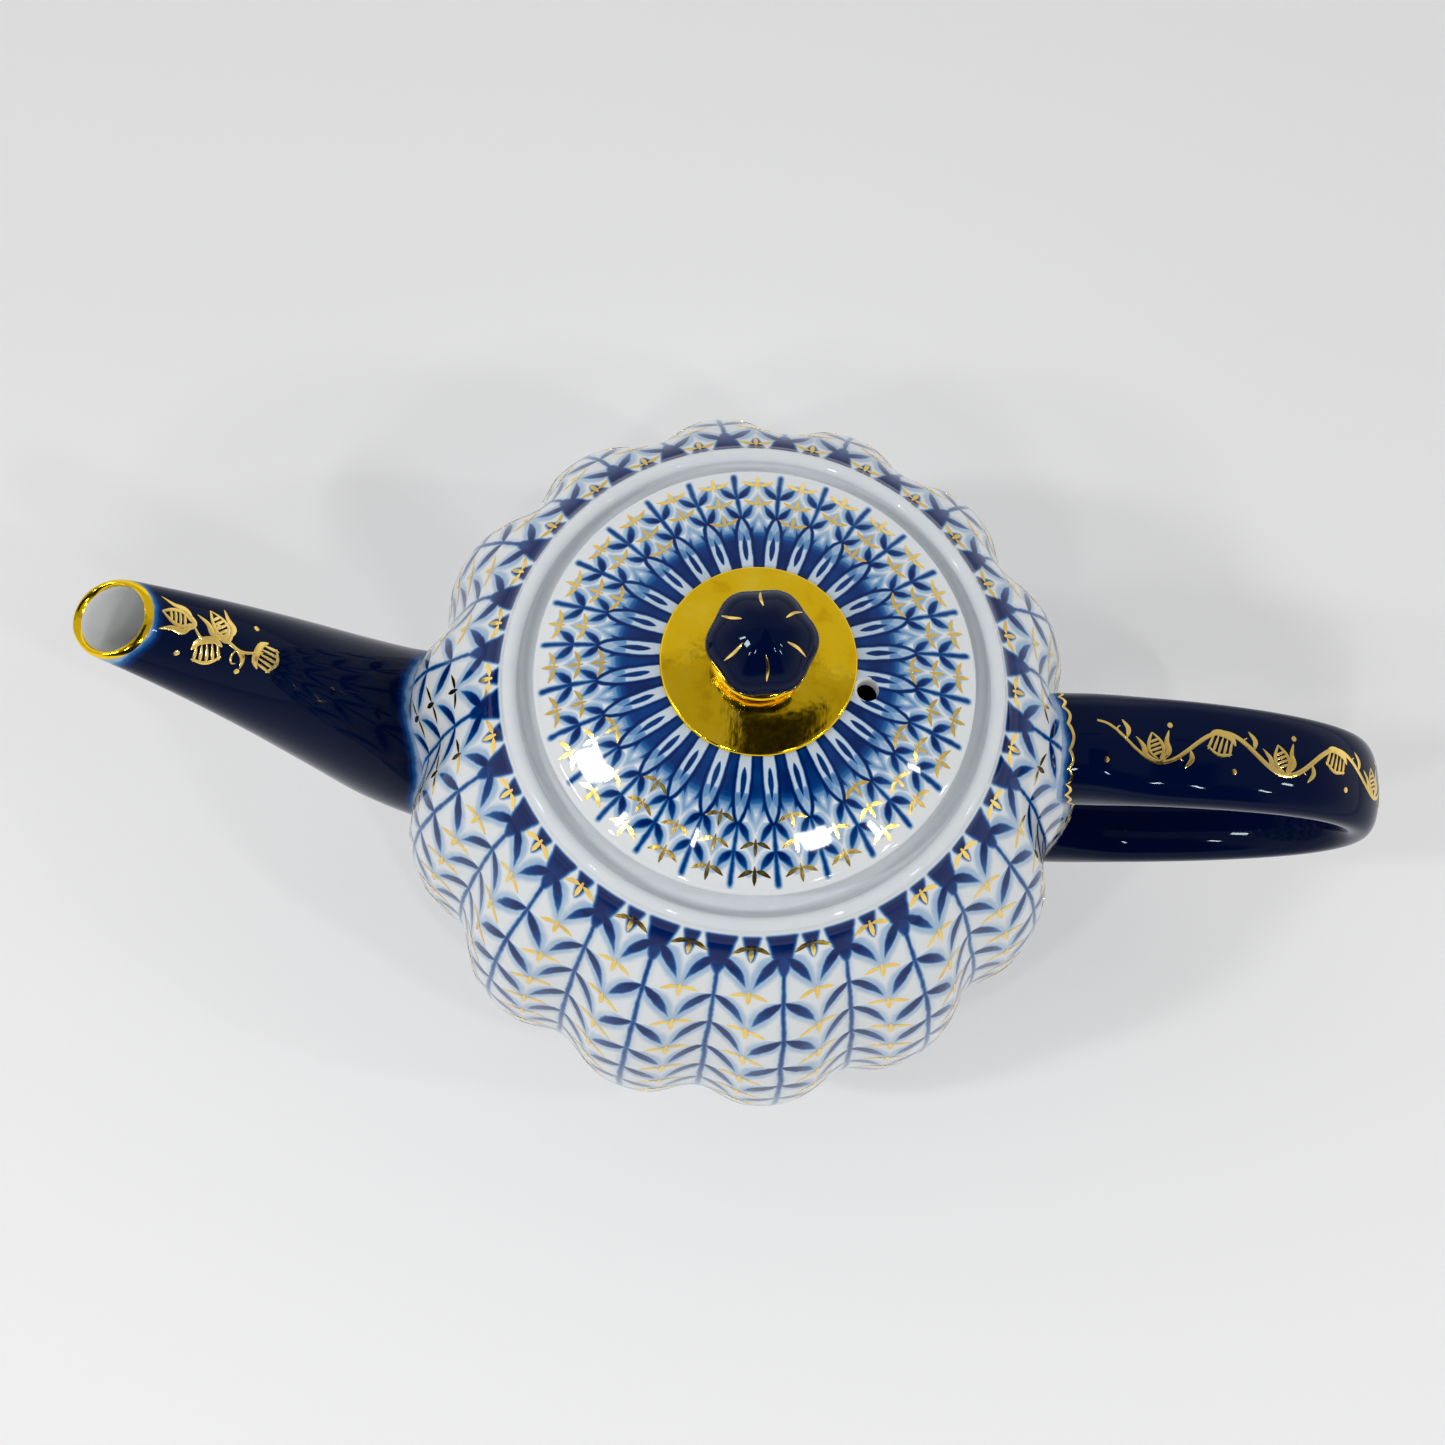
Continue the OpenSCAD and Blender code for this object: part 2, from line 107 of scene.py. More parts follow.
def rounded_end(outer: float, inner: float, middle_z: float, radius: float) -> list[Spot]:
    """The lower end of a ring's section, rounded at both edges.

    Args:
        outer: The end's outer radius.
        inner: Its inner radius.
        middle_z: Height of the roundings' centres.
        radius: Radius of the roundings.

    Returns:
        The points as (radius, height), from the outside to the inside.
    """
    return [
        *arc((outer - radius, middle_z), radius, 0, -90, 7),
        *arc((inner + radius, middle_z), radius, -90, -180, 7),
    ]


def travelled(points: Array) -> Array:
    """The distance from a line's first point to each of its points, along the line."""
    return np.concatenate([[0.0], np.cumsum(np.hypot(*np.diff(points, axis=0).T))])


def polar(spots: Array) -> tuple[Array, Array]:
    """The radius and the direction in radians at which places lie round the pot's axis."""
    return np.hypot(spots[:, 0], spots[:, 1]), np.arctan2(spots[:, 1], spots[:, 0])


def around_axis(radius: Array | float, turn: Array, z: Array | float) -> Array:
    """Places at radii, directions in radians and heights."""
    return np.column_stack([radius * np.cos(turn), radius * np.sin(turn), np.broadcast_to(z, turn.shape)])


@dataclass(frozen=True)
class Bezier:
    """A cubic curve in the XZ plane through four control points."""

    points: tuple[Spot, Spot, Spot, Spot]

    def at(self, t: Array) -> Array:
        """The curve's (x, z) at each t.

        Args:
            t: Shares of the curve, from 0 to 1.

        Returns:
            The places, one row each.
        """
        p = np.array(self.points, float)
        t = np.asarray(t, float)[:, None]
        u = 1 - t
        return u**3 * p[0] + 3 * u * u * t * p[1] + 3 * u * t * t * p[2] + t**3 * p[3]

    def turn(self, t: Array) -> Array:
        """The direction of travel at each t, in radians from +X towards +Z, without jumps.

        Args:
            t: Shares of the curve, from 0 to 1.

        Returns:
            The directions.
        """
        p = np.array(self.points, float)
        t = np.asarray(t, float)[:, None]
        u = 1 - t
        d = u * u * (p[1] - p[0]) + 2 * u * t * (p[2] - p[1]) + t * t * (p[3] - p[2])
        return np.unwrap(np.arctan2(d[:, 1], d[:, 0]))


# ---- Modelling moves shared by the pieces ----


def clear_selection() -> None:
    """Leaves edit mode and deselects everything."""
    if bpy.context.object and bpy.context.object.mode != "OBJECT":
        bpy.ops.object.mode_set(mode="OBJECT")
    bpy.ops.object.select_all(action="DESELECT")


def select_only(piece: Piece) -> None:
    """Makes one piece the selected and active one.

    Args:
        piece: The piece.
    """
    clear_selection()
    piece.select_set(True)
    bpy.context.view_layer.objects.active = piece


def edit_all(piece: Piece) -> None:
    """Enters edit mode on one piece, with all of it selected.

    Args:
        piece: The piece.
    """
    select_only(piece)
    bpy.ops.object.mode_set(mode="EDIT")
    bpy.ops.mesh.select_all(action="SELECT")


def named(name: str) -> Piece:
    """Gives the primitive that was just added, and its mesh, a name.

    Args:
        name: The name.

    Returns:
        The primitive.
    """
    piece = bpy.context.object
    piece.name = piece.data.name = name
    return piece


def read(elements: bpy.types.bpy_prop_collection, key: str) -> Array:
    """One vector of each vertex or face of a mesh, one row each.

    Args:
        elements: The mesh's vertices or faces.
        key: The vector's name.

    Returns:
        The vectors.
    """
    found = np.empty(len(elements) * 3, np.float64)
    elements.foreach_get(key, found)
    return found.reshape(-1, 3)


def places(piece: Piece) -> Array:
    """The places of a piece's vertices, in millimetres."""
    return read(piece.data.vertices, "co") / MM


def face_middles(piece: Piece) -> Array:
    """The middles of a piece's faces, in millimetres."""
    return read(piece.data.polygons, "center") / MM


def face_normals(piece: Piece) -> Array:
    """The directions in which a piece's faces look."""
    return read(piece.data.polygons, "normal")


def put(piece: Piece, spots: Array) -> None:
    """Moves a piece's vertices to places given in millimetres."""
    piece.data.vertices.foreach_set("co", (np.asarray(spots, np.float64) * MM).ravel())
    piece.data.update()


def apply_all(piece: Piece) -> None:
    """Applies a piece's modifiers in order.

    Args:
        piece: The piece.
    """
    select_only(piece)
    for modifier in list(piece.modifiers):
        bpy.ops.object.modifier_apply(modifier=modifier.name)


def turn_outwards(piece: Piece) -> None:
    """Turns a closed piece's faces outwards.

    Args:
        piece: The piece.
    """
    edit_all(piece)
    bpy.ops.mesh.normals_make_consistent(inside=False)
    bpy.ops.object.mode_set(mode="OBJECT")


def close_up(piece: Piece) -> None:
    """Merges a shell's doubles and turns its faces outwards.

    Args:
        piece: The shell.
    """
    edit_all(piece)
    bpy.ops.mesh.remove_doubles(threshold=DOUBLES * MM)
    bpy.ops.mesh.delete_loose(use_verts=True, use_edges=True, use_faces=False)
    turn_outwards(piece)


def lathe(name: str, section: Sequence[Spot], steps: int) -> Piece:
    """Turns a closed section round the pot's axis.

    Args:
        name: The piece's name.
        section: Points (radius, height) round the section.
        steps: Number of steps in the turn.

    Returns:
        The closed shell.
    """
    clear_selection()
    bpy.ops.mesh.primitive_circle_add(vertices=len(section), radius=MM, fill_type="NOTHING")
    piece = named(name)
    put(piece, np.array([(r, 0.0, z) for r, z in section]))
    edit_all(piece)
    bpy.ops.mesh.spin(steps=steps, angle=TAU, center=(0, 0, 0), axis=(0, 0, 1))
    close_up(piece)
    return piece


def loft(name: str, rings: Sequence[Array], joined: bool = False) -> Piece:
    """Draws a skin through rings, from one circle that is extruded ring by ring.

    Args:
        name: The piece's name.
        rings: Rings of as many points each, in millimetres.
        joined: Whether the last ring joins the first. If not, both ends are closed with a face.

    Returns:
        The closed shell.
    """
    count = len(rings[0])
    clear_selection()
    bpy.ops.mesh.primitive_circle_add(vertices=count, radius=1, fill_type="NOTHING")
    piece = named(name)
    edit_all(piece)
    for _ in rings[1:]:
        bpy.ops.mesh.extrude_region_move(TRANSFORM_OT_translate={"value": (0, 0, 1)})
    bpy.ops.object.mode_set(mode="OBJECT")
    rough = places(piece) * MM
    row = np.rint(rough[:, 2]).astype(int)
    column = np.rint(np.arctan2(rough[:, 1], rough[:, 0]) / TAU * count).astype(int) % count
    put(piece, np.array(rings)[row, column])
    close_ends(piece, row, joined)
    close_up(piece)
    return piece


def close_ends(piece: Piece, row: Array, joined: bool) -> None:
    """Bridges a loft's two end rings, or fills each with a face.

    Args:
        piece: The open skin.
        row: Each vertex's ring.
        joined: Whether the two rings are bridged.
    """
    first, last = row == row.min(), row == row.max()
    select_only(piece)
    for wanted in [first | last] if joined else [first, last]:
        bpy.ops.object.mode_set(mode="EDIT")
        bpy.ops.mesh.select_mode(type="VERT")
        bpy.ops.mesh.select_all(action="DESELECT")
        bpy.ops.object.mode_set(mode="OBJECT")
        piece.data.vertices.foreach_set("select", wanted)
        bpy.ops.object.mode_set(mode="EDIT")
        bpy.ops.mesh.select_mode(type="EDGE")
        if joined:
            bpy.ops.mesh.bridge_edge_loops()
        else:
            bpy.ops.mesh.edge_face_add()
    bpy.ops.object.mode_set(mode="OBJECT")


def bore(piece: Piece, cutter: Piece) -> None:
    """Cuts a cutter out of a piece and deletes the cutter.

    Args:
        piece: The piece to cut.
        cutter: The shape that is cut out of it.
    """
    cut = piece.modifiers.new("Bore", "BOOLEAN")
    cut.operation, cut.object, cut.solver = "DIFFERENCE", cutter, "EXACT"
    apply_all(piece)
    bpy.data.objects.remove(cutter, do_unlink=True)


def dress(piece: Piece, *finishes: Finish) -> None:
    """Gives a piece its finishes, one to a material slot.

    Args:
        piece: The piece.
        finishes: The finishes, in the order of its slots.
    """
    piece.data.materials.clear()
    for finish in finishes:
        piece.data.materials.append(finish.material())


def paint_faces(piece: Piece, slots: Array) -> None:
    """Gives each face of a piece its material slot."""
    piece.data.polygons.foreach_set("material_index", np.asarray(slots, np.int32))
    piece.data.update()


def write_field(piece: Piece, name: str, values: Array) -> None:
    """Writes one number to each vertex, for a finish to read."""
    held = piece.data.attributes.new(name, "FLOAT", "POINT")
    held.data.foreach_set("value", np.asarray(values, np.float32))


def finish_piece(piece: Piece, body: str, slot: str, *nodes: str, angle: float = 40) -> Piece:
    """Smooths a dressed piece and hands it to the frame.

    Args:
        piece: The finished piece.
        body: The body that it rides on.
        slot: The material slot that it takes its finish from. Not used.
        nodes: The nodes that it stands for.
        angle: The angle in degrees past which an edge between two faces stays sharp.

    Returns:
        The same piece.
    """
    select_only(piece)
    bpy.ops.object.shade_smooth_by_angle(angle=math.radians(angle))
    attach(piece, body)
    if nodes:
        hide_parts(*nodes)
    log.info("%s: %d faces on %s", piece.name, len(piece.data.polygons), body)
    return piece


# ---- Shader arithmetic ----


@dataclass(frozen=True)
class Field:
    """A number that varies over a surface, kept as a shader node's output."""

    tree: Tree
    socket: Socket

    def math(self, operation: str, *others: Field | float) -> Field:
        """Adds a math node whose first value is this field.

        Args:
            operation: The math node's operation.
            others: Its other values.

        Returns:
            The node's output.
        """
        node = self.tree.nodes.new("ShaderNodeMath")
        node.operation = operation
        for slot, value in zip(node.inputs, (self, *others)):
            wire(self.tree, value, slot)
        return Field(self.tree, node.outputs[0])

    def __add__(self, other: Field | float) -> Field:
        """The sum of two fields."""
        return self.math("ADD", other)

    def __sub__(self, other: Field | float) -> Field:
        """The difference of two fields."""
        return self.math("SUBTRACT", other)

    def __mul__(self, other: Field | float) -> Field:
        """The product of two fields."""
        return self.math("MULTIPLY", other)

    def __truediv__(self, other: Field | float) -> Field:
        """The quotient of two fields."""
        return self.math("DIVIDE", other)

    def abs(self) -> Field:
        """The field without its sign."""
        return self.math("ABSOLUTE")

    def fract(self) -> Field:
        """What the field has over a whole number."""
        return self.math("FRACT")

    def sin(self) -> Field:
        """The sine of the field in radians."""
        return self.math("SINE")

    def power(self, exponent: float) -> Field:
        """The field raised to a power."""
        return self.math("POWER", exponent)

    def least(self, other: Field | float) -> Field:
        """The lesser of two fields."""
        return self.math("MINIMUM", other)

    def most(self, other: Field | float) -> Field:
        """The greater of two fields."""
        return self.math("MAXIMUM", other)

    def between(self, start: float, end: float) -> Field:
        """Carries the field's 0 to start and its 1 to end."""
        return self * (end - start) + start

    def opposite(self) -> Field:
        """One minus the field."""
        return self.between(1.0, 0.0)

    def held(self) -> Field:
        """The field kept from 0 to 1."""
        return self.most(0.0).least(1.0)

    def bulge(self, power: float) -> Field:
        """Swells from 0 to 1 and back as the field goes from 0 to 1, later with a higher power."""
        return (self.power(power) * math.pi).sin()

    def rise(self, low: float, high: float) -> Field:
        """Eases from 0 to 1 as the field goes from low to high, which may be the lesser.

        Args:
            low: Where the ease starts.
            high: Where it ends.

        Returns:
            The eased field.
        """
        node = self.tree.nodes.new("ShaderNodeMapRange")
        node.interpolation_type = "SMOOTHSTEP"
        ends = (low, high, 0.0, 1.0) if low < high else (high, low, 1.0, 0.0)
        wire(self.tree, self, node.inputs["Value"])
        for socket, value in zip(("From Min", "From Max", "To Min", "To Max"), ends):
            node.inputs[socket].default_value = value
        return Field(self.tree, node.outputs["Result"])

    def colours(self, *stops: tuple[float, Colour]) -> Socket:
        """A colour that goes through stops as the field rises.

        Args:
            stops: Pairs of a value of the field and its colour, in rising order.

        Returns:
            The colour output.
        """
        node = self.tree.nodes.new("ShaderNodeValToRGB")
        ramp = node.color_ramp
        ramp.interpolation = "EASE"
        while len(ramp.elements) < len(stops):
            ramp.elements.new(1.0)
        for element, (place, colour) in zip(ramp.elements, stops):
            element.position = place
            element.color = (*colour, 1.0)
        wire(self.tree, self, node.inputs["Fac"])
        return node.outputs["Color"]


def wire(tree: Tree, value: Field | float, slot: Socket) -> None:
    """Links a field to an input, or sets the input to a plain number.

    Args:
        tree: The node tree.
        value: The field or the number.
        slot: The input.
    """
    if isinstance(value, Field):
        tree.links.new(value.socket, slot)
    else:
        slot.default_value = value


@dataclass
class Sheet:
    """The coordinates and noises that a finish draws on, for one material."""

    tree: Tree

    def object_socket(self) -> Socket:
        """The piece's own coordinates, in metres."""
        return self.tree.nodes.new("ShaderNodeTexCoord").outputs["Object"]

    def axes(self) -> tuple[Field, Field, Field]:
        """The piece's own x, y and z, in millimetres.

        Returns:
            The three coordinates.
        """
        split = self.tree.nodes.new("ShaderNodeSeparateXYZ")
        self.tree.links.new(self.object_socket(), split.inputs[0])
        return tuple(Field(self.tree, out) * (1 / MM) for out in split.outputs)

    def value(self, name: str) -> Field:
        """A number that was written to the piece's vertices.

        Args:
            name: The number's name.

        Returns:
            The number.
        """
        node = self.tree.nodes.new("ShaderNodeAttribute")
        node.attribute_name = name
        return Field(self.tree, node.outputs["Fac"])

    def noise(self, size: float, detail: float = 2.0, stretch: Colour = (1, 1, 1)) -> Field:
        """Soft noise from 0 to 1.

        Args:
            size: Width of a patch, in millimetres.
            detail: Octaves.
            stretch: Scale along each axis.

        Returns:
            The noise.
        """
        mapping = self.tree.nodes.new("ShaderNodeMapping")
        mapping.inputs["Scale"].default_value = stretch
        self.tree.links.new(self.object_socket(), mapping.inputs["Vector"])
        node = self.tree.nodes.new("ShaderNodeTexNoise")
        node.inputs["Scale"].default_value = 1 / (size * MM)
        node.inputs["Detail"].default_value = detail
        self.tree.links.new(mapping.outputs["Vector"], node.inputs["Vector"])
        return Field(self.tree, node.outputs["Fac"])

    def cover(self, shader: Shader, colour: Socket, relief: Field, depth: float) -> None:
        """Gives a shader its colour and its fine relief.

        Args:
            shader: The shader.
            colour: The colour output.
            relief: The relief's height, from 0 to 1.
            depth: The relief's depth, in millimetres.
        """
        bump = self.tree.nodes.new("ShaderNodeBump")
        bump.inputs["Strength"].default_value = 1.0
        bump.inputs["Distance"].default_value = depth * MM
        wire(self.tree, relief, bump.inputs["Height"])
        self.tree.links.new(bump.outputs["Normal"], shader.inputs["Normal"])
        self.tree.links.new(colour, shader.inputs["Base Color"])


# ---- Finishes ----


WHITE: Colour = (0.80, 0.825, 0.84)
MIST_BLUE: Colour = (0.40, 0.54, 0.71)
PALE_BLUE: Colour = (0.15, 0.31, 0.55)
CLEAR_BLUE: Colour = (0.014, 0.115, 0.335)
DEEP_BLUE: Colour = (0.001, 0.042, 0.21)
INK_BLUE: Colour = (0.0008, 0.013, 0.10)
NIGHT_BLUE: Colour = (0.0004, 0.0036, 0.028)
COBALT_TONES = (
    (0.02, WHITE),
    (0.18, MIST_BLUE),
    (0.36, PALE_BLUE),
    (0.56, CLEAR_BLUE),
    (0.76, DEEP_BLUE),
    (0.98, INK_BLUE),
)
POOL_TONES = (
    (0.0, (0.36, 0.50, 0.70)),
    (0.3, CLEAR_BLUE),
    (0.6, (0.002, 0.02, 0.13)),
    (0.95, NIGHT_BLUE),
)


@dataclass(frozen=True)
class Finish(ABC):
    """One finish, made into a material the first time that a piece asks for it."""

    name: str
    roughness: float = 0.05
    gloss: float = 0.5
    gloss_tint: Colour = (1.0, 1.0, 1.0)
    wave: float = 9.0
    wave_depth: float = 0.05

    def material(self) -> bpy.types.Material:
        """The finish's material, made once.

        Returns:
            The material.
        """
        found = bpy.data.materials.get(self.name)
        if found is None:
            found = bpy.data.materials.new(self.name)
            found.use_nodes = True
            shader = found.node_tree.nodes["Principled BSDF"]
            shader.inputs["Roughness"].default_value = self.roughness
            shader.inputs["Specular IOR Level"].default_value = self.gloss
            shader.inputs["Specular Tint"].default_value = (*self.gloss_tint, 1.0)
            self.colour(Sheet(found.node_tree), shader)
        return found

    @abstractmethod
    def colour(self, sheet: Sheet, shader: Shader) -> None:
        """Draws the finish into its shader."""


@dataclass(frozen=True)
class WhiteGlaze(Finish):
    """Clear glaze on white porcelain, a little uneven from dipping."""

    cloud: float = 14.0
    warm: Colour = (WHITE[0] * 0.965, WHITE[1] * 0.965, WHITE[2] * 0.955)

    def colour(self, sheet: Sheet, shader: Shader) -> None:
        """Draws a faint cloudiness and the glaze's slow waves."""
        colour = sheet.noise(self.cloud).colours((0.3, self.warm), (0.7, WHITE))
        sheet.cover(shader, colour, sheet.noise(self.wave, 1.0), self.wave_depth)


class Ground(Enum):
    """Where a spray pattern lies, and so how its rays run."""

    WALL = "wall"
    LID = "lid"


@dataclass(frozen=True)
class Drop:
    """A pointed drop under a rim: where it starts along its ray, its length and half its width."""

    start: float
    length: float
    half_width: float


@dataclass(frozen=True)
class SprayPaint(Finish):
    """Rays of paired cobalt leaves under the glaze, with soft edges where the cobalt has bled."""

    gloss: float = 0.24
    ground: Ground = Ground.WALL
    rays: int = 28
    ray_turn: float = -2.5
    ray_width: float = 12.0
    pitch: float = 9.6
    first: float = 3.8
    last: float = 112.0
    fade: float = 0.6
    leaf_length: float = 9.0
    leaf_half_width: float = 1.1
    leaf_angle: float = 38.0
    leaf_bow: float = 0.75
    leaf_tip_tone: float = 0.5
    stem_half_width: float = 0.16
    stem_tone: float = 0.8
    stem_bleed: float = 0.6
    feather: float = 0.6
    halo: float = 2.1
    sway: float = 0.45
    sway_patch: float = 11.0
    shake: float = 0.2
    shake_patch: float = 1.5
    drop: Drop = Drop(-0.3, 8.6, 3.3)
    small_drop: Drop = Drop(-0.2, 5.2, 1.9)
    drop_taper: float = 0.7
    drop_tip_tone: float = 0.75
    ring_width: float = 7.2
    ring_fade: float = 2.2
    ring_tone: float = 0.84
    petal_length: float = 10.4
    petal_half_width: float = 3.5
    petal_spread: Span = (0.75, 1.3)
    petal_taper: float = 0.6
    petal_tone: float = 0.1
    outline: float = 0.6
    core_start: float = 1.4
    core_length: float = 6.4
    core_half_width: float = 1.0
    core_tone: float = 0.85
    haze_depth: float = 12.0
    haze_strength: float = 0.16
    haze_cloud: Span = (0.45, 1.15)
    haze_patch: float = 3.0
    haze_least: float = 0.4
    bleed: float = 0.2
    bleed_cloud: Span = (0.3, 1.3)
    bleed_patch: float = 6.0
    pool: Span = (0.76, 1.31)
    pool_patch: float = 4.5

    def colour(self, sheet: Sheet, shader: Shader) -> None:
        """Draws the rays, what they spring from, the bled cobalt and the glaze's slow waves.

        Args:
            sheet: The material's sheet.
            shader: Its shader.
        """
        x, y, _ = sheet.axes()
        along = sheet.value("run")
        column = y.math("ARCTAN2", x) * (self.rays / TAU) - self.ray_turn * self.rays / 360 + 0.5
        sway = sheet.noise(self.sway_patch, 1.0).between(-self.sway, self.sway)
        across = ((column.fract() - 0.5) * self.ray_width + sway).abs()
        shake = sheet.noise(self.shake_patch, 3.0).between(-self.shake, self.shake)
        cobalt, bled = self.sprays(across, along, shake)
        if self.ground is Ground.LID:
            cobalt = self.flower_ring(cobalt, across, along, shake)
        else:
            between = across * -1.0 + self.ray_width / 2
            cobalt = cobalt.most(self.hang(self.drop, across, along, shake))
            cobalt = cobalt.most(self.hang(self.small_drop, between, along, shake))
        colour = self.settled(sheet, cobalt, bled, along).colours(*COBALT_TONES)
        sheet.cover(shader, colour, sheet.noise(self.wave, 1.0), self.wave_depth)

    def settled(self, sheet: Sheet, cobalt: Field, bled: Field, along: Field) -> Field:
        """Lets the cobalt pool here and thin out there, and lays its haze under it.

        Args:
            sheet: The material's sheet.
            cobalt: The painted cobalt, from 0 to 1.
            bled: The cobalt that has bled from it, from 0 to 1.
            along: Distance along a ray.

        Returns:
            The ink of it all, from 0 to 1.
        """
        inked = cobalt * sheet.noise(self.pool_patch).between(*self.pool)
        cloud = sheet.noise(self.haze_patch).between(*self.haze_cloud)
        haze = along.rise(self.haze_depth, 0.0) * cloud * self.haze_strength
        thin = bled * sheet.noise(self.bleed_patch).between(*self.bleed_cloud) * self.bleed
        return inked.most(thin + haze * bled.between(self.haze_least, 1.0)).least(1.0)

    def window(self, along: Field, first: float, last: float) -> Field:
        """One between two distances along a ray, easing to nothing at both."""
        fade = self.fade
        return along.rise(first - fade, first + fade) * along.rise(last + fade, last - fade)

    def sprays(self, across: Field, along: Field, shake: Field) -> tuple[Field, Field]:
        """The stem and the paired leaves of a ray.

        Args:
            across: Distance from the ray's middle, on either side.
            along: Distance along the ray.
            shake: Unevenness of their edges.

        Returns:
            Their ink, and what has bled from it, both from 0 to 1.
        """
        reach = self.stem_half_width + self.feather
        line = (across + shake).rise(reach, self.stem_half_width - self.feather * 0.4)
        cobalt = line * self.window(along, 0.0, self.last) * self.stem_tone
        bled = across.rise(self.halo, 0.2) * self.window(along, self.first, self.last) * self.stem_bleed
        window = self.window(along, self.first, self.last - self.pitch * 0.4)
        for back in (0.0, 1.0):
            inside, share = self.leaf(across, along, back, shake)
            tone = share.rise(1.1, 0.1).between(self.leaf_tip_tone, 1.0)
            cobalt = cobalt.most(inside.rise(-self.feather * 0.5, self.feather) * tone * window)
            bled = bled.most(inside.rise(-self.halo, 0.1) * window)
        return cobalt, bled

    def leaf(self, across: Field, along: Field, back: float, shake: Field) -> tuple[Field, Field]:
        """One leaf of each pair, and by symmetry the other.

        Args:
            across: Distance from the ray's middle, on either side.
            along: Distance along the ray.
            back: How many pairs back the leaf is rooted.
            shake: Unevenness of its edge.

        Returns:
            The distance inside its edge, and the share of its length from the root.
        """
        step = ((along - self.first) / self.pitch).fract()
        rooted = (step + back) * self.pitch
        lean = math.radians(self.leaf_angle)
        way = across * math.sin(lean) + rooted * math.cos(lean)
        side = across * math.cos(lean) - rooted * math.sin(lean)
        share = (way / self.leaf_length).held()
        bowed = side - share * share.opposite() * (4 * self.leaf_bow)
        return share.bulge(0.75) * self.leaf_half_width - bowed.abs() + shake, share

    def hang(self, drop: Drop, across: Field, along: Field, shake: Field) -> Field:
        """A pointed drop that hangs along a ray, darkest where it starts.

        Args:
            drop: The drop's place and size.
            across: Distance from the drop's middle.
            along: Distance along the ray.
            shake: Unevenness of its edge.

        Returns:
            The drop's ink, from 0 to 1.
        """
        end = drop.start + drop.length
        share = ((along - drop.start) / drop.length).held()
        inside = share.opposite().power(self.drop_taper) * drop.half_width - across + shake
        body = inside.rise(-self.feather, self.feather * 1.2) * along.rise(drop.start - 0.6, drop.start + 0.5)
        return body * along.rise(end + 0.4, end - 0.6) * share.between(1.0, self.drop_tip_tone)

    def flower_ring(self, cobalt: Field, across: Field, along: Field, shake: Field) -> Field:
        """A blue ring behind, and on each ray a long petal: dark outline, pale ground, dark core.

        Args:
            cobalt: The rays' own cobalt.
            across: Distance from the ray's middle, on either side.
            along: Distance along the ray.
            shake: Unevenness of the edges.

        Returns:
            The ink of the rays, the ring and the petals, from 0 to 1.
        """
        ring = along.rise(self.ring_width + self.ring_fade, self.ring_width - self.ring_fade)
        share = (along / self.petal_length).held()
        spread = share.between(*self.petal_spread)
        half = share.opposite().power(self.petal_taper) * spread * self.petal_half_width
        inside = half - across + shake
        cover = inside.rise(-self.feather * 0.6, self.feather * 0.6)
        cover = cover * along.rise(self.petal_length + 0.3, self.petal_length - 0.3)
        pale = inside.rise(self.outline * 0.6, self.outline * 1.8)
        core_share = ((along - self.core_start) / self.core_length).held()
        core_half = core_share.bulge(0.6) * self.core_half_width
        core = (core_half - across + shake).rise(0.0, self.feather) * self.core_tone
        petal = pale.between(1.0, self.petal_tone).most(core)
        return cobalt.most(ring * self.ring_tone) * cover.opposite() + petal * cover


@dataclass(frozen=True)
class CobaltGlaze(Finish):
    """Thick night-blue glaze that runs thin and pale at edges and roots."""

    roughness: float = 0.035
    gloss: float = 0.1
    gloss_tint: Colour = (0.78, 0.96, 1.0)
    wave: float = 8.0
    wave_depth: float = 0.06
    bloom: float = 0.2
    bloom_width: float = 0.3
    bloom_tint: Colour = (0.72, 0.76, 1.0)
    thin_width: float = 3.4
    thin_sway: float = 0.8
    thin_patch: float = 3.2
    pool: Span = (0.88, 1.04)
    pool_patch: float = 16.0

    def colour(self, sheet: Sheet, shader: Shader) -> None:
        """Draws the glaze's depth from the distance to the nearest thin edge.

        Args:
            sheet: The material's sheet.
            shader: Its shader.
        """
        shader.inputs["Sheen Weight"].default_value = self.bloom
        shader.inputs["Sheen Roughness"].default_value = self.bloom_width
        shader.inputs["Sheen Tint"].default_value = (*self.bloom_tint, 1.0)
        sway = sheet.noise(self.thin_patch, 3.0).between(-self.thin_sway, self.thin_sway)
        pool = sheet.noise(self.pool_patch).between(*self.pool)
        depth = (sheet.value("run") + sway).rise(0.0, self.thin_width) * pool
        sheet.cover(shader, depth.colours(*POOL_TONES), sheet.noise(self.wave, 1.5), self.wave_depth)


@dataclass(frozen=True)
class Gilding(Finish):
    """Burnished gold film, streaked by the brush and the agate."""

    roughness: float = 0.1
    wave: float = 6.0
    wave_depth: float = 0.12
    thin: Colour = (0.78, 0.45, 0.006)
    even: Colour = (0.96, 0.62, 0.012)
    thick: Colour = (1.0, 0.70, 0.045)
    film_patch: float = 5.0
    grain_patch: float = 0.8
    grain_span: Span = (-0.06, 0.1)
    streak_patch: float = 0.7
    streak_depth: float = 0.12

    def colour(self, sheet: Sheet, shader: Shader) -> None:
        """Draws the film's thin places and its burnishing streaks.

        Args:
            sheet: The material's sheet.
            shader: Its shader.
        """
        shader.inputs["Metallic"].default_value = 1.0
        film = sheet.noise(self.film_patch, 4.0)
        colour = film.colours((0.22, self.thin), (0.45, self.even), (0.78, self.thick))
        grain = sheet.noise(self.grain_patch, 4.0, (1.0, 1.0, 3.0))
        least, most = (self.roughness + change for change in self.grain_span)
        wire(sheet.tree, grain.between(least, most), shader.inputs["Roughness"])
        streaks = sheet.noise(self.streak_patch, 2.0, (1.0, 0.25, 1.0)) * self.streak_depth
        sheet.cover(shader, colour, sheet.noise(self.wave, 3.0) + streaks, self.wave_depth)


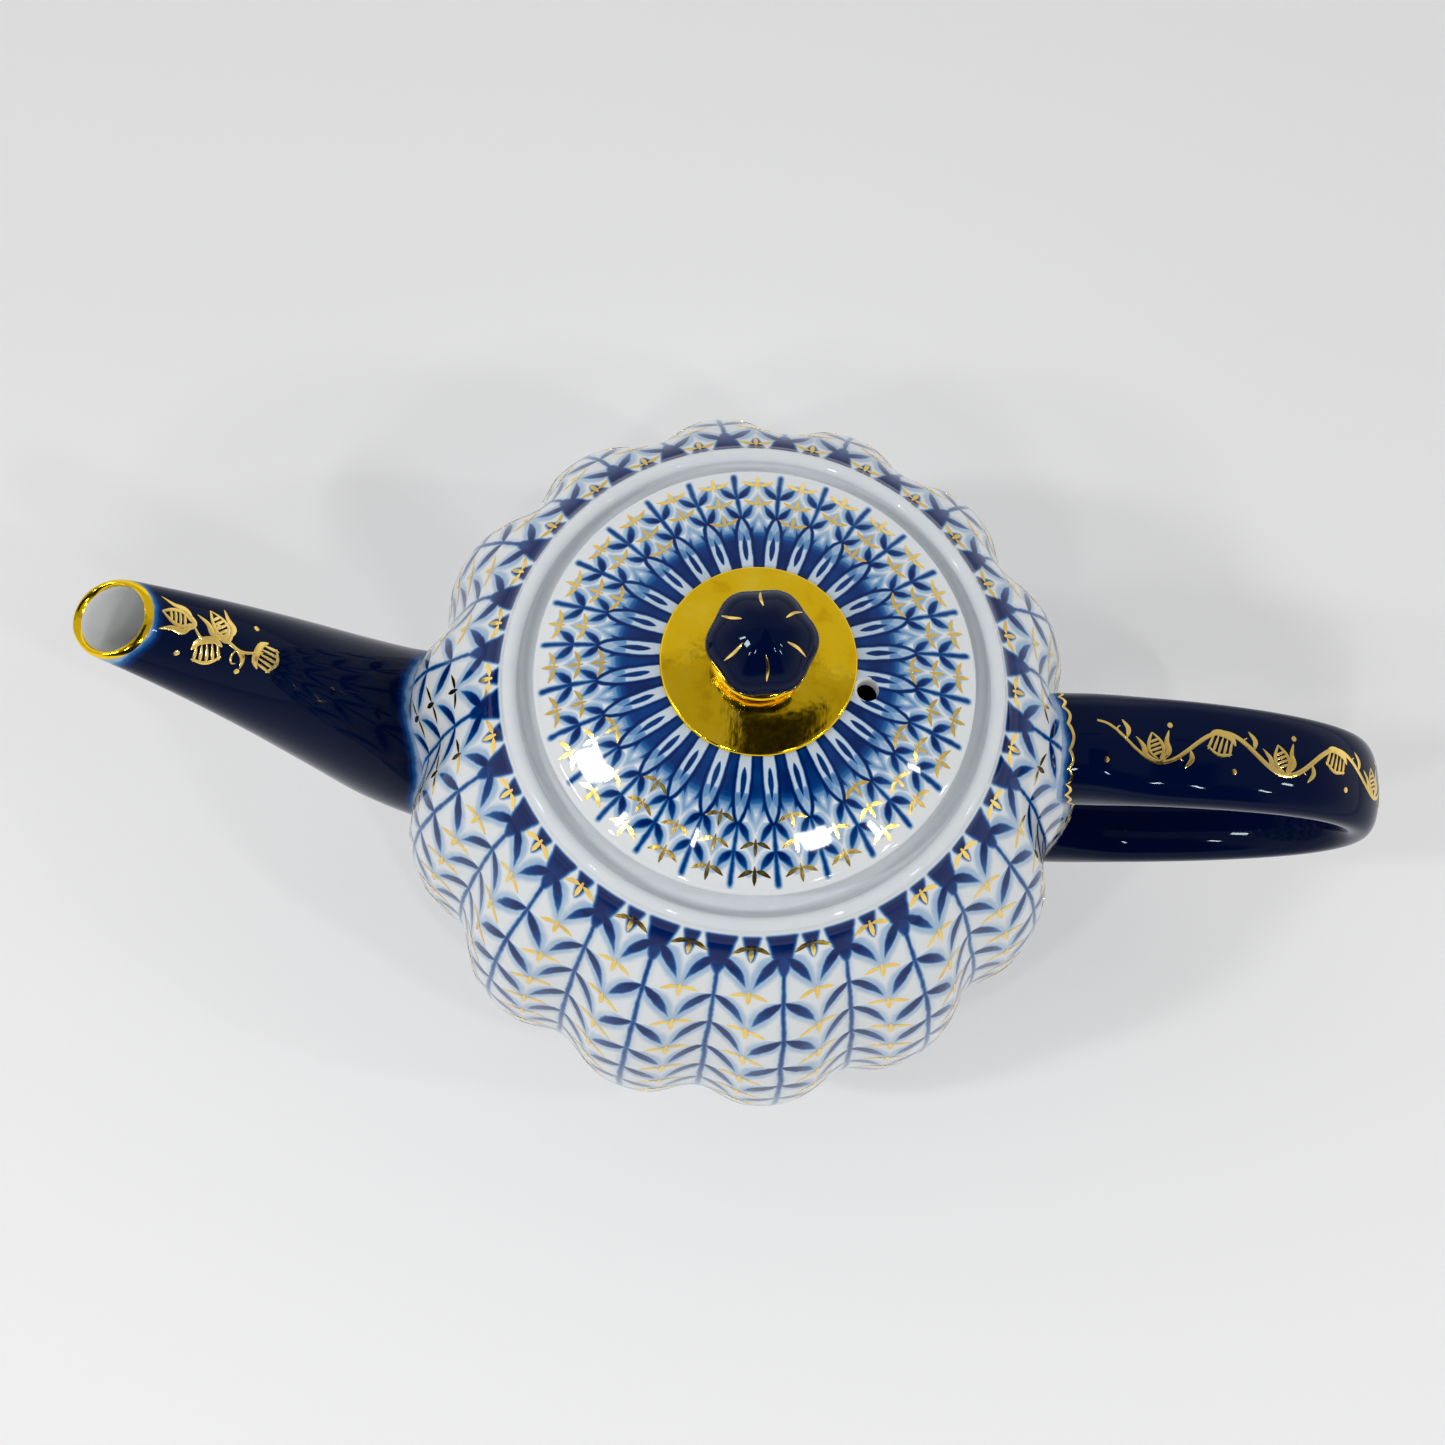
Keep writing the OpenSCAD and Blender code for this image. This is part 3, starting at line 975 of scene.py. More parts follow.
@dataclass(frozen=True)
class Biscuit(Finish):
    """Bare fired porcelain where the foot stood in the kiln."""

    roughness: float = 0.7
    wave: float = 0.4
    wave_depth: float = 0.04
    worn: Colour = (0.62, 0.59, 0.54)
    clean: Colour = (0.74, 0.72, 0.68)
    grain_patch: float = 0.9

    def colour(self, sheet: Sheet, shader: Shader) -> None:
        """Draws a fine warm grain."""
        colour = sheet.noise(self.grain_patch, 4.0).colours((0.3, self.worn), (0.7, self.clean))
        sheet.cover(shader, colour, sheet.noise(self.wave, 3.0), self.wave_depth)


GLAZE = WhiteGlaze("clear_glaze")
WALL_PAINT = SprayPaint("wall_paint")
LID_PAINT = SprayPaint(
    "lid_paint",
    ground=Ground.LID,
    ray_width=7.2,
    pitch=4.4,
    first=5.4,
    last=20.0,
    leaf_length=4.7,
    leaf_half_width=0.8,
    leaf_angle=36.0,
    leaf_bow=0.4,
    stem_half_width=0.2,
    feather=0.55,
    halo=1.1,
    haze_depth=15.0,
    haze_strength=0.34,
    bleed=0.3,
)
COBALT = CobaltGlaze("night_glaze")
GOLD = Gilding("gold")
BRUSHED_GOLD = Gilding(
    "brushed_gold",
    roughness=0.14,
    thin=(0.72, 0.46, 0.10),
    even=(0.90, 0.63, 0.17),
    thick=(0.95, 0.71, 0.25),
)
BISCUIT = Biscuit("bare_biscuit")


# ---- Brushwork in gold ----

FINE = 0.09  # thickness of the finest strokes, in millimetres


class Surface(ABC):
    """A curved face that brush strokes are laid on."""

    @abstractmethod
    def point(self, across: Array, along: Array) -> Array:
        """Places on the face, in millimetres.

        Args:
            across: Distances across the drawing.
            along: Distances along the drawing.

        Returns:
            An array of places, one row each.
        """

    def lifted(self, drawn: Array) -> Array:
        """Lays a drawing on the face.

        Args:
            drawn: Rows of (across, along, height over the face).

        Returns:
            The places, one row each.
        """
        step = 0.05
        base = self.point(drawn[:, 0], drawn[:, 1])
        side = self.point(drawn[:, 0] + step, drawn[:, 1]) - base
        ahead = self.point(drawn[:, 0], drawn[:, 1] + step) - base
        normal = np.cross(side, ahead)
        normal /= np.linalg.norm(normal, axis=1)[:, None]
        return base + normal * drawn[:, 2:3]


@dataclass(frozen=True)
class Stroke:
    """One brush stroke, tapered along a smooth curve, in millimetres on the drawing.

    The tip is the share of the width that is left at the ends, and the stroke is fullest at a share
    of its length.
    """

    path: tuple[Spot, ...]
    width: float
    tip: float = 0.12
    fullest: float = 0.5
    segments: int = 8
    lanes: int = 2

    def line(self, count: int) -> Array:
        """Places along the stroke's smooth path.

        Args:
            count: Number of places.

        Returns:
            Rows of (across, along).
        """
        knots = np.array(self.path, float)
        if len(knots) == 2:
            return blend(knots[0], knots[1], np.linspace(0, 1, count)[:, None])
        padded = np.vstack([2 * knots[0] - knots[1], knots, 2 * knots[-1] - knots[-2]])
        spans = np.linspace(0, len(knots) - 1, count)
        index = np.minimum(spans.astype(int), len(knots) - 2)
        s = (spans - index)[:, None]
        a, b, c, d = (padded[index + k] for k in range(4))
        bend = (2 * a - 5 * b + 4 * c - d) * s**2 + (3 * b - a - 3 * c + d) * s**3
        return 0.5 * (2 * b + (c - a) * s + bend)

    def half_widths(self, count: int) -> Array:
        """Half the stroke's width at evenly spaced places along it.

        Args:
            count: Number of places.

        Returns:
            The half widths.
        """
        s = np.linspace(0, 1, count)
        power = math.log(0.5) / math.log(self.fullest)
        swell = np.sin(math.pi * s**power) ** 0.8
        return self.width / 2 * blend(self.tip, 1.0, swell)

    def mesh(self, thickness: float) -> Piece:
        """Models the stroke flat on the drawing, crowned along its middle.

        Args:
            thickness: Height of the crown.

        Returns:
            The flat stroke.
        """
        clear_selection()
        bpy.ops.mesh.primitive_grid_add(x_subdivisions=self.segments, y_subdivisions=self.lanes, size=1)
        piece = named("stroke")
        flat = places(piece) * MM
        count = self.segments + 1
        step = np.rint((flat[:, 0] + 0.5) * self.segments).astype(int)
        line = self.line(count)
        ahead = np.gradient(line, axis=0)
        ahead /= np.maximum(np.linalg.norm(ahead, axis=1), 1e-9)[:, None]
        aside = np.stack([-ahead[:, 1], ahead[:, 0]], axis=1)
        offset = flat[:, 1] * 2 * self.half_widths(count)[step]
        spots = line[step] + aside[step] * offset[:, None]
        crown = thickness * (1 - 0.5 * (2 * flat[:, 1]) ** 2)
        put(piece, np.column_stack([spots, crown]))
        return piece


@dataclass(frozen=True)
class Brushwork:
    """Strokes of gold that are drawn once and laid on surfaces."""

    strokes: tuple[Stroke, ...]
    thickness: float = 0.1
    sunk: float = 0.06

    def drawing(self, name: str) -> Piece:
        """Models the strokes flat, as closed thin slabs in one piece.

        Args:
            name: The piece's name.

        Returns:
            The flat piece, in millimetres on the drawing.
        """
        slabs = [stroke.mesh(self.thickness) for stroke in self.strokes]
        piece = join(slabs, name)
        slab = piece.modifiers.new("Slab", "SOLIDIFY")
        slab.thickness = (self.thickness + self.sunk) * MM
        slab.offset = -1
        slab.use_rim = True
        apply_all(piece)
        return piece

    def lay(self, name: str, surfaces: Iterable[Surface]) -> Piece:
        """Lays a copy of the drawing on each surface.

        Args:
            name: The piece's name.
            surfaces: One surface for each copy.

        Returns:
            The copies as one piece.
        """
        drawing = self.drawing(name + "_drawing")
        flat = places(drawing)
        copies = []
        for surface in surfaces:
            copy = drawing.copy()
            copy.data = drawing.data.copy()
            bpy.context.collection.objects.link(copy)
            put(copy, surface.lifted(flat))
            copies.append(copy)
        bpy.data.objects.remove(drawing, do_unlink=True)
        piece = join(copies, name)
        turn_outwards(piece)
        return piece


def join(parts: Sequence[Piece], name: str) -> Piece:
    """Joins pieces into the first of them and names it.

    Args:
        parts: The pieces.
        name: The name of the whole.

    Returns:
        The whole.
    """
    clear_selection()
    for part in parts:
        part.select_set(True)
    bpy.context.view_layer.objects.active = parts[0]
    if len(parts) > 1:
        bpy.ops.object.join()
    return named(name)


def dot(across: float, along: float, size: float) -> Stroke:
    """A round touch of the brush."""
    return Stroke(((across - size / 2, along), (across + size / 2, along)), size, 0.35, 0.5, 4)


def moved(
    strokes: Iterable[Stroke], across: float, along: float, turn: float = 0.0, flip: bool = False
) -> list[Stroke]:
    """Strokes turned about the drawing's origin and moved.

    Args:
        strokes: The strokes.
        across: Shift across the drawing.
        along: Shift along the drawing.
        turn: Turn in degrees.
        flip: Whether they are mirrored across first.

    Returns:
        The new strokes.
    """
    c, s = math.cos(math.radians(turn)), math.sin(math.radians(turn))
    sign = -1 if flip else 1

    def shift(spot: Spot) -> Spot:
        """One point of a path, turned and moved."""
        x, y = spot[0] * sign, spot[1]
        return (across + x * c - y * s, along + x * s + y * c)

    return [replace(stroke, path=tuple(map(shift, stroke.path))) for stroke in strokes]


def sprig() -> tuple[Stroke, ...]:
    """A small three-leaved sprig, the same on wall and lid.

    Returns:
        The strokes.
    """
    leaf = Stroke(((0.35, 0.0), (1.9, 0.35), (3.8, 1.5)), 1.1, 0.15, 0.45, 4, 1)
    middle = Stroke(((0.0, -1.1), (0.0, 0.9), (0.0, 3.1)), 1.05, 0.2, 0.6, 4, 1)
    return (leaf, *moved([leaf], 0, 0, flip=True), middle)


def tulip() -> list[Stroke]:
    """A tulip's head on its calyx: two flared petals round a hatched cup.

    Returns:
        The strokes.
    """
    flared = Stroke(((0.8, 0.2), (2.0, 1.3), (2.1, 3.0), (3.0, 4.8)), 1.0, 0.12, 0.4, 14)
    cup = Stroke(((0.2, 0.3), (1.2, 1.6), (1.05, 3.3), (0.0, 5.0)), 0.6, 0.4, 0.5, 12)
    calyx = Stroke(((-1.5, 0.85), (0.0, -0.25), (1.5, 0.85)), 0.9, 0.3, 0.5, 10)
    hatching = [
        Stroke(((-reach, along), (reach, along + 0.3)), 0.46, 0.6, 0.5, 4)
        for along, reach in ((1.15, 0.9), (1.9, 1.0), (2.65, 1.0), (3.4, 0.8))
    ]
    petals = [flared, cup]
    return [*petals, *moved(petals, 0, 0, flip=True), *hatching, calyx]


def bell() -> list[Stroke]:
    """A drooping bell-shaped bud with a ribbed cup.

    Returns:
        The strokes.
    """
    cap = Stroke(((-2.4, 1.3), (-1.2, 0.1), (1.2, 0.1), (2.4, 1.3)), 1.25, 0.2, 0.5, 12)
    ribs = [
        Stroke(((x * 0.85, 0.6), (x, 4.1 - abs(x) * 0.3)), 0.5, 0.4, 0.6, 6)
        for x in (-1.9, -0.95, 0, 0.95, 1.9)
    ]
    hem = Stroke(((-2.2, 3.0), (0.0, 3.9), (2.2, 3.0)), 0.6, 0.4, 0.5, 10)
    return [cap, *ribs, hem]


def tendril(across: float, along: float, turn: float, flip: bool = False) -> list[Stroke]:
    """A curved leaf with a fine curl beside it, rooted at a place on the drawing.

    Args:
        across: Place of its root across the drawing.
        along: Place of its root along the drawing.
        turn: Turn in degrees.
        flip: Whether it is mirrored first.

    Returns:
        The strokes.
    """
    leaf = Stroke(((0.0, 0.0), (0.9, 1.3), (0.6, 3.2)), 0.85, 0.12, 0.45, 12)
    curl = Stroke(((0.0, 0.0), (-0.9, 0.9), (-0.9, 2.1), (-0.2, 2.3)), 0.34, 0.3, 0.4, 12)
    return moved([leaf, curl], across, along, turn, flip)


# ---- The pot's own form, which the wall, the roots and the painting share ----


@dataclass(frozen=True)
class PotForm:
    """The fluted wall: radius by height and direction."""

    belly_r: float = 62.5
    belly_z: float = 41.5
    shoulder_r: float = 40.4
    shoulder_z: float = 100.8
    shoulder_curve: float = 1.47
    foot_r: float = 34.0
    foot_curve: float = 0.9
    base_z: float = 3.6
    flutes: int = 14
    flute_turn: float = -2.5
    flute_depth: float = 3.6
    crest_share: float = 0.15
    fade_top: float = 24.0
    fade_foot: float = 20.0

    def mean_r(self, z: Array | float) -> Array:
        """Radius halfway between crests and valleys at a height.

        Args:
            z: Heights.

        Returns:
            The radii.
        """
        z = np.asarray(z, float)
        above = z >= self.belly_z
        reach = np.where(above, self.shoulder_z - self.belly_z, self.belly_z - self.base_z)
        round_off = np.sqrt(np.maximum(0, 1 - ((z - self.belly_z) / reach) ** 2))
        upper = blend(self.shoulder_r, self.belly_r, round_off**self.shoulder_curve)
        lower = blend(self.foot_r, self.belly_r, round_off**self.foot_curve)
        return np.where(above, upper, lower)

    def swell(self, z: Array, turn: Array) -> Array:
        """How far the flutes move the wall outwards, with the direction in radians.

        Args:
            z: Heights.
            turn: Directions, in radians.

        Returns:
            The distances outwards.
        """
        phase = self.flutes * (turn - math.radians(self.flute_turn))
        wave = np.cos(phase) - self.crest_share * np.cos(2 * phase)
        fade = smooth((self.shoulder_z - z) / self.fade_top) * smooth((z - self.base_z) / self.fade_foot)
        return fade * wave * self.flute_depth / 2

    def outer_r(self, z: Array, turn: Array) -> Array:
        """Radius of the wall's outside."""
        return self.mean_r(z) + self.swell(z, turn)

    def heights(self, top: float, count: int) -> Array:
        """Heights from the foot to a top, closer together towards both ends.

        Args:
            top: The last height.
            count: Number of heights.

        Returns:
            The heights, rising.
        """
        turns = np.radians(np.linspace(-90, 90, count))
        reach = np.where(turns < 0, self.belly_z - self.base_z, top - self.belly_z)
        return self.belly_z + reach * np.sin(turns)

    def meridian(self, count: int = 500) -> tuple[Array, Array, Array]:
        """Radii, heights and distances from the shoulder, going down the mean profile.

        Args:
            count: Number of points.

        Returns:
            The radii, the heights and the distances.
        """
        z = self.heights(self.shoulder_z, count)[::-1]
        r = self.mean_r(z)
        return r, z, travelled(np.column_stack([r, z]))

    def stand_off(self, spots: Array) -> Array:
        """How far places lie outside the wall."""
        radius, turn = polar(spots)
        return radius - self.outer_r(np.clip(spots[:, 2], self.base_z, self.shoulder_z), turn)

    def bulk(self, side: int, sunk: float) -> Piece:
        """A block of the pot out to just under its wall, for trimming what is luted to it.

        Args:
            side: 1 towards the handle, -1 towards the spout.
            sunk: Depth of the block's face under the wall.

        Returns:
            The block.
        """
        half_arc, core_x = 28, 20
        middle = 0.0 if side > 0 else math.pi
        turns = middle + np.radians(np.linspace(-half_arc, half_arc, 87))
        rings = []
        for z in self.heights(self.shoulder_z - 1, 60):
            face = around_axis(self.outer_r(z, turns) - sunk, turns, z)
            rings.append(np.vstack([[[side * core_x, 0, z]], face]))
        return loft("wall_block", rings)


FORM = PotForm()


@dataclass(frozen=True)
class WallPatch(Surface):
    """The fluted wall round a direction and a distance from the shoulder, drawn downwards."""

    turn: float
    run: float
    size: float = 1.0

    def point(self, across: Array, along: Array) -> Array:
        """Places on the wall; across runs clockwise.

        Args:
            across: Distances across the drawing.
            along: Distances along the drawing.

        Returns:
            The places, one row each.
        """
        radii, heights, runs = FORM.meridian()
        run = self.run + along * self.size
        z = np.interp(run, runs, heights)
        turn = self.turn - across * self.size / np.interp(run, runs, radii)
        return around_axis(FORM.outer_r(z, turn), turn, z)


# ---- Pot body and foot ring ----


class Casting(ABC):
    """A part of the teapot that is cast in one piece, with the gold that is laid on it."""

    @abstractmethod
    def build(self) -> Piece:
        """Models the casting and dresses it."""

    def gild(self) -> Piece | None:
        """Lays the casting's gold, where it has any."""
        return None


def gilded(laid: Piece, body: str) -> Piece:
    """Gives laid strokes their gold and hands them to the frame on a body."""
    dress(laid, BRUSHED_GOLD)
    return finish_piece(laid, body, "gilding", angle=50)


@dataclass(frozen=True)
class Root:
    """Where a root covers the wall: the side in X, half its width, its lowest and highest point."""

    side: int
    half_width: float
    low: float
    high: float

    def covers(self, spot: Array) -> bool:
        """Whether a place on the wall lies under the root."""
        x, y, z = spot
        return x * self.side > 0 and abs(y) < self.half_width and self.low < z < self.high


@dataclass
class PotBody(Casting):
    """The fluted shell with its rim roll, gallery and strainer."""

    wall: float = 3.0
    steepest: float = 1.5
    floor_r: float = 18.0
    flat_r: float = 10.0
    flat_fade: float = 20.0
    shell_top_drop: float = 0.8
    roll_crest_r: float = 39.0
    roll_r: float = 1.2
    cove_r: float = 1.8
    gallery_z: float = 100.4
    mouth_r: float = 31.5
    mouth_bevel: float = 0.6
    mouth_flare: float = 0.5
    strainer_z: float = 45.0
    strainer_ring_r: float = 7.5
    strainer_hole_r: float = 2.0
    strainer_holes: int = 6
    drill_length: float = 20.0
    steps_per_flute: int = 20
    unpainted_run: float = 9.0
    gold_rows: int = 11
    gold_first: float = 2.2
    least_sprig: float = 0.78
    roots: tuple[Root, ...] = (Root(-1, 17, 26, 74), Root(1, 12, 14, 37), Root(1, 12, 68, 89))

    def outside(self) -> list[Spot]:
        """The shell's outside from the axis up to the rim roll."""
        z = FORM.heights(FORM.shoulder_z - self.shell_top_drop, 78)
        return [(0.0, FORM.base_z), (self.floor_r, FORM.base_z), *zip(FORM.mean_r(z), z)]

    def rim(self) -> list[Spot]:
        """The roll, the cove inside it, the ledge that the lid sits on and the mouth.

        Returns:
            The points as (radius, height).
        """
        middle_z = self.gallery_z + self.cove_r
        roll = arc((self.roll_crest_r, middle_z), self.roll_r, 0, 180, 25)
        cove_middle = self.roll_crest_r - self.roll_r - self.cove_r
        cove = arc((cove_middle, middle_z), self.cove_r, 0, -90, 15)[1:]
        mouth = [
            (self.mouth_r + self.mouth_bevel, self.gallery_z),
            (self.mouth_r, self.gallery_z - self.mouth_bevel),
            (self.mouth_r, self.gallery_z - self.wall + self.mouth_flare),
            (self.mouth_r + self.mouth_flare, self.gallery_z - self.wall),
        ]
        return roll + cove + mouth

    def inside(self) -> list[Spot]:
        """The shell's inside from under the rim down to the axis.

        Returns:
            The points as (radius, height).
        """
        floor_z = FORM.base_z + self.wall
        turns = np.radians(np.linspace(62, -88, 40))
        top = FORM.shoulder_z - self.shell_top_drop
        reach = np.where(turns < 0, FORM.belly_z - floor_z, top - FORM.belly_z)
        z = FORM.belly_z + reach * np.sin(turns)
        near = 0.2
        rise = np.abs(FORM.mean_r(z + near) - FORM.mean_r(z - near)) / (2 * near)
        r = FORM.mean_r(z) - self.wall * np.sqrt(1 + np.minimum(self.steepest, rise) ** 2)
        return [*zip(r, z), (self.floor_r, floor_z), (0.0, floor_z)]

    def flute(self, shell: Piece) -> None:
        """Moves a turned shell's wall out and in to make the flutes.

        Args:
            shell: The turned shell.
        """
        spots = places(shell)
        radius, turn = polar(spots)
        held = smooth((radius - self.flat_r) / self.flat_fade) * (radius > self.mouth_r + 1)
        push = FORM.swell(spots[:, 2], turn) * held / np.maximum(radius, 1e-6)
        spots[:, :2] *= (1 + push)[:, None]
        put(shell, spots)

    def strainer(self) -> Piece:
        """The strainer's drills, which run along -X through the wall behind the spout.

        Returns:
            The drills as one piece.
        """
        drills = []
        turns = [TAU * k / self.strainer_holes for k in range(self.strainer_holes)]
        for across, up in [(0.0, 0.0)] + [(math.sin(a), math.cos(a)) for a in turns]:
            y, z = across * self.strainer_ring_r, self.strainer_z + up * self.strainer_ring_r
            clear_selection()
            bpy.ops.mesh.primitive_cylinder_add(
                vertices=24,
                radius=self.strainer_hole_r * MM,
                depth=self.drill_length * MM,
                location=(-FORM.belly_r * MM, y * MM, z * MM),
                rotation=(0, math.pi / 2, 0),
            )
            drills.append(named("drill"))
        drill = join(drills, "drills")
        select_only(drill)
        bpy.ops.object.transform_apply(location=True, rotation=True, scale=True)
        return drill

    def build(self) -> Piece:
        """Models the shell, drills it and paints its outside.

        Returns:
            The finished piece.
        """
        section = self.outside() + self.rim() + self.inside()
        shell = lathe("pot_shell", section, FORM.flutes * self.steps_per_flute)
        self.flute(shell)
        bore(shell, self.strainer())
        self.paint(shell)
        return finish_piece(shell, "pot", "painted_porcelain", "pot_body")

    def paint(self, shell: Piece) -> None:
        """Writes the distance down the wall for the painting, and paints the outside and the rim.

        Args:
            shell: The drilled shell.
        """
        spots = places(shell)
        _, heights, runs = FORM.meridian()
        down = np.interp(-spots[:, 2], -heights, runs) - np.maximum(0, spots[:, 2] - FORM.shoulder_z)
        inner = polar(spots)[0] < self.roll_crest_r
        write_field(shell, "run", down - self.unpainted_run * inner)
        middles = face_middles(shell)
        z, near, skin = middles[:, 2], 0.1, 0.4
        on_rim = (z > self.gallery_z - near) & (polar(middles)[0] > self.mouth_r + self.mouth_bevel)
        on_wall = (FORM.stand_off(middles) > -skin) & (z > FORM.base_z + 2 * near)
        dress(shell, GLAZE, WALL_PAINT)
        paint_faces(shell, on_rim | on_wall)

    def gild(self) -> Piece:
        """Lays the gold sprigs between the rays, row by row, except under the roots.

        Returns:
            The gold as one piece.
        """
        radii, _, runs = FORM.meridian()
        patches = []
        for row in range(self.gold_rows):
            run = self.gold_first + row * WALL_PAINT.pitch
            size = float(np.interp(run, runs, radii)) / FORM.belly_r
            for ray in range(WALL_PAINT.rays):
                turn = math.radians(WALL_PAINT.ray_turn) + (ray + 0.5) * TAU / WALL_PAINT.rays
                patch = WallPatch(turn, run, max(self.least_sprig, size))
                middle = patch.point(np.zeros(1), np.zeros(1))[0]
                if not any(root.covers(middle) for root in self.roots):
                    patches.append(patch)
        return gilded(Brushwork(sprig()).lay("wall_gold", patches), "pot")


@dataclass
class FootRing(Casting):
    """The ring that the pot stands on, glazed but for its standing edge."""

    outer_r: float = 34.0
    height: float = 3.6
    width: float = 4.4
    taper: float = 0.5
    rounding: float = 0.8
    bare_share: float = 0.6

    def build(self) -> Piece:
        """Models the ring and leaves its standing edge bare.

        Returns:
            The finished piece.
        """
        inner = self.outer_r - self.width
        foot = rounded_end(self.outer_r - self.taper, inner + self.taper, self.rounding, self.rounding)
        ring = lathe("foot_ring_cast", [(inner, self.height), (self.outer_r, self.height), *foot], 180)
        dress(ring, GLAZE, BISCUIT)
        paint_faces(ring, face_middles(ring)[:, 2] < self.rounding * self.bare_share)
        return finish_piece(ring, "pot", "biscuit", "foot_ring")


# ---- Spout ----


def cross_ring(centre: Array, turn: float, half_w: float, half_h: float, power: float, count: int) -> Array:
    """A ring that stands across a curve in the XZ plane.

    Args:
        centre: The ring's (x, z).
        turn: Direction that the ring stands across, in radians.
        half_w: Half its width along Y.
        half_h: Half its height.
        power: Squareness, 2 for an ellipse.
        count: Number of points.

    Returns:
        The ring's places.
    """
    a = np.linspace(0, TAU, count, endpoint=False)
    up = np.sign(np.cos(a)) * np.abs(np.cos(a)) ** (2 / power)
    wide = np.sign(np.sin(a)) * np.abs(np.sin(a)) ** (2 / power)
    return np.column_stack([
        centre[0] - math.sin(turn) * half_h * up,
        -half_w * wide,
        centre[1] + math.cos(turn) * half_h * up,
    ])


@dataclass
class Spout(Casting):
    """The bored spout, trimmed to the wall flute by flute, with its gilt lip."""

    curve: Bezier = Bezier(((-56, 45), (-70, 56), (-79.5, 84), (-101.8, 104.8)))
    root_half_w: float = 16.2
    root_half_h: float = 19.5
    taper: float = 1.2
    mouth_r: float = 6.6
    root_wall: float = 2.8
    lip_wall: float = 1.3
    mouth_tilt: float = 12.0
    root_share: float = 0.3
    mouth_share: float = 0.6
    least_skew: float = 0.8
    last: float = 0.985
    steps: int = 84
    around: int = 64
    gilt_width: float = 0.8
    root_sunk: float = 0.6
    thinning: Span = (0.45, 1.5)
    thin_reach: float = 0.7
    lip_run: float = 0.3
    root_run: float = 1.1

    def turns(self, t: Array) -> tuple[Array, Array]:
        """The direction that each ring stands across, and the curve's own, in radians.

        Args:
            t: Shares of the curve.

        Returns:
            Both directions at each share.
        """
        along = self.curve.turn(t)
        from_root = blend(math.pi, along, smooth(t / self.root_share))
        mouth = math.radians(90 + self.mouth_tilt)
        return blend(from_root, mouth, smooth((t - self.mouth_share) / (1 - self.mouth_share))), along

    def half_sizes(self, t: Array | float) -> tuple[Array | float, Array | float]:
        """Half the spout's width and height at t."""
        round_h = blend(self.root_half_h, self.root_half_w, smooth(2 * t))
        return blend(self.root_half_w, self.mouth_r, t**self.taper), blend(round_h, self.mouth_r, t)

    def ring(self, t: float, inset: float) -> Array:
        """The ring at t, drawn in by an inset.

        Args:
            t: Share of the curve.
            inset: Distance that the ring is drawn in.

        Returns:
            The ring's places.
        """
        share = np.array([t])
        turn, along = (float(v[0]) for v in self.turns(share))
        skew = max(self.least_skew, math.cos(turn - along))
        half_w, half_h = self.half_sizes(t)
        centre = self.curve.at(share)[0]
        return cross_ring(centre, turn, half_w - inset, half_h - inset * skew, 2, self.around)

    def lip(self) -> list[Array]:
        """The rings that round the lip over, from the outside to the bore.

        Returns:
            The rings.
        """
        half = self.lip_wall / 2
        rings = []
        for a in np.linspace(0, math.pi, 9)[1:-1]:
            inset = half * (1 - math.cos(a))
            rings.append(blend(self.ring(self.last, inset), self.ring(1.0, inset), math.sin(a)))
        return rings

    def build(self) -> Piece:
        """Models the spout and glazes it, dark outside and white within.

        Returns:
            The finished piece.
        """
        shares = np.linspace(0, self.last, self.steps + 1)
        walls = blend(self.root_wall, self.lip_wall, shares)
        outside = [self.ring(t, 0) for t in shares]
        inside = [self.ring(t, w) for t, w in zip(shares, walls)][::-1]
        spout = loft("spout_cast", [*outside, *self.lip(), *inside], joined=True)
        bore(spout, FORM.bulk(-1, self.root_sunk))
        self.glaze(spout)
        return finish_piece(spout, "pot", "cobalt_glaze", "spout")

    def gild(self) -> Piece:
        """Lays a spray of gold flowers on the spout's upper face, under the lip.

        Returns:
            The gold as one piece.
        """
        strokes = [
            Stroke(((-1.2, 7.0), (0.9, 9.2), (-0.2, 12.2), (1.1, 15.8), (0.2, 19.6)), 0.6, 0.35, 0.5, 40),
            *moved(tulip(), -1.2, 7.2, 172),
            *moved(bell(), 0.9, 9.8, -68),
            *tendril(0.1, 11.4, 62),
            *moved(tulip(), -0.2, 13.0, 118),
            *tendril(1.0, 15.0, -70, flip=True),
            *moved(bell(), 0.4, 18.6, -12),
            dot(4.2, 6.4, 0.9),
            dot(4.4, 16.4, 0.9),
            dot(-3.8, 18.4, 0.9),
        ]
        return gilded(Brushwork(tuple(strokes), FINE).lay("spout_gold", [SpoutFace(self)]), "pot")

    def glaze(self, spout: Piece) -> None:
        """Writes where the glaze runs thin, and gives the faces their finishes.

        Args:
            spout: The trimmed spout.
        """
        spots = places(spout)
        mouth = self.ring(1.0, 0)
        middle = mouth.mean(axis=0)
        up = np.cross(mouth[0] - middle, mouth[self.around // 4] - middle)
        up /= np.linalg.norm(up) * np.sign(up[2])
        from_lip = (middle - spots) @ up
        over = np.cross(up, (0.0, 1.0, 0.0))
        over *= np.sign(over[0])
        sheltered = ((spots - middle) @ over + 0.5 * spots[:, 1]) / self.mouth_r
        thinning = blend(*self.thinning, smooth((sheltered + self.thin_reach) / (2 * self.thin_reach)))
        from_root = FORM.stand_off(spots) * self.root_run
        write_field(spout, "run", np.minimum(from_lip * thinning - self.lip_run, from_root))
        gilt = (middle - face_middles(spout)) @ up < self.gilt_width
        slots = np.where(gilt, 2, np.where(self.within(spout), 1, 0))
        dress(spout, COBALT, GLAZE, GOLD)
        paint_faces(spout, slots)

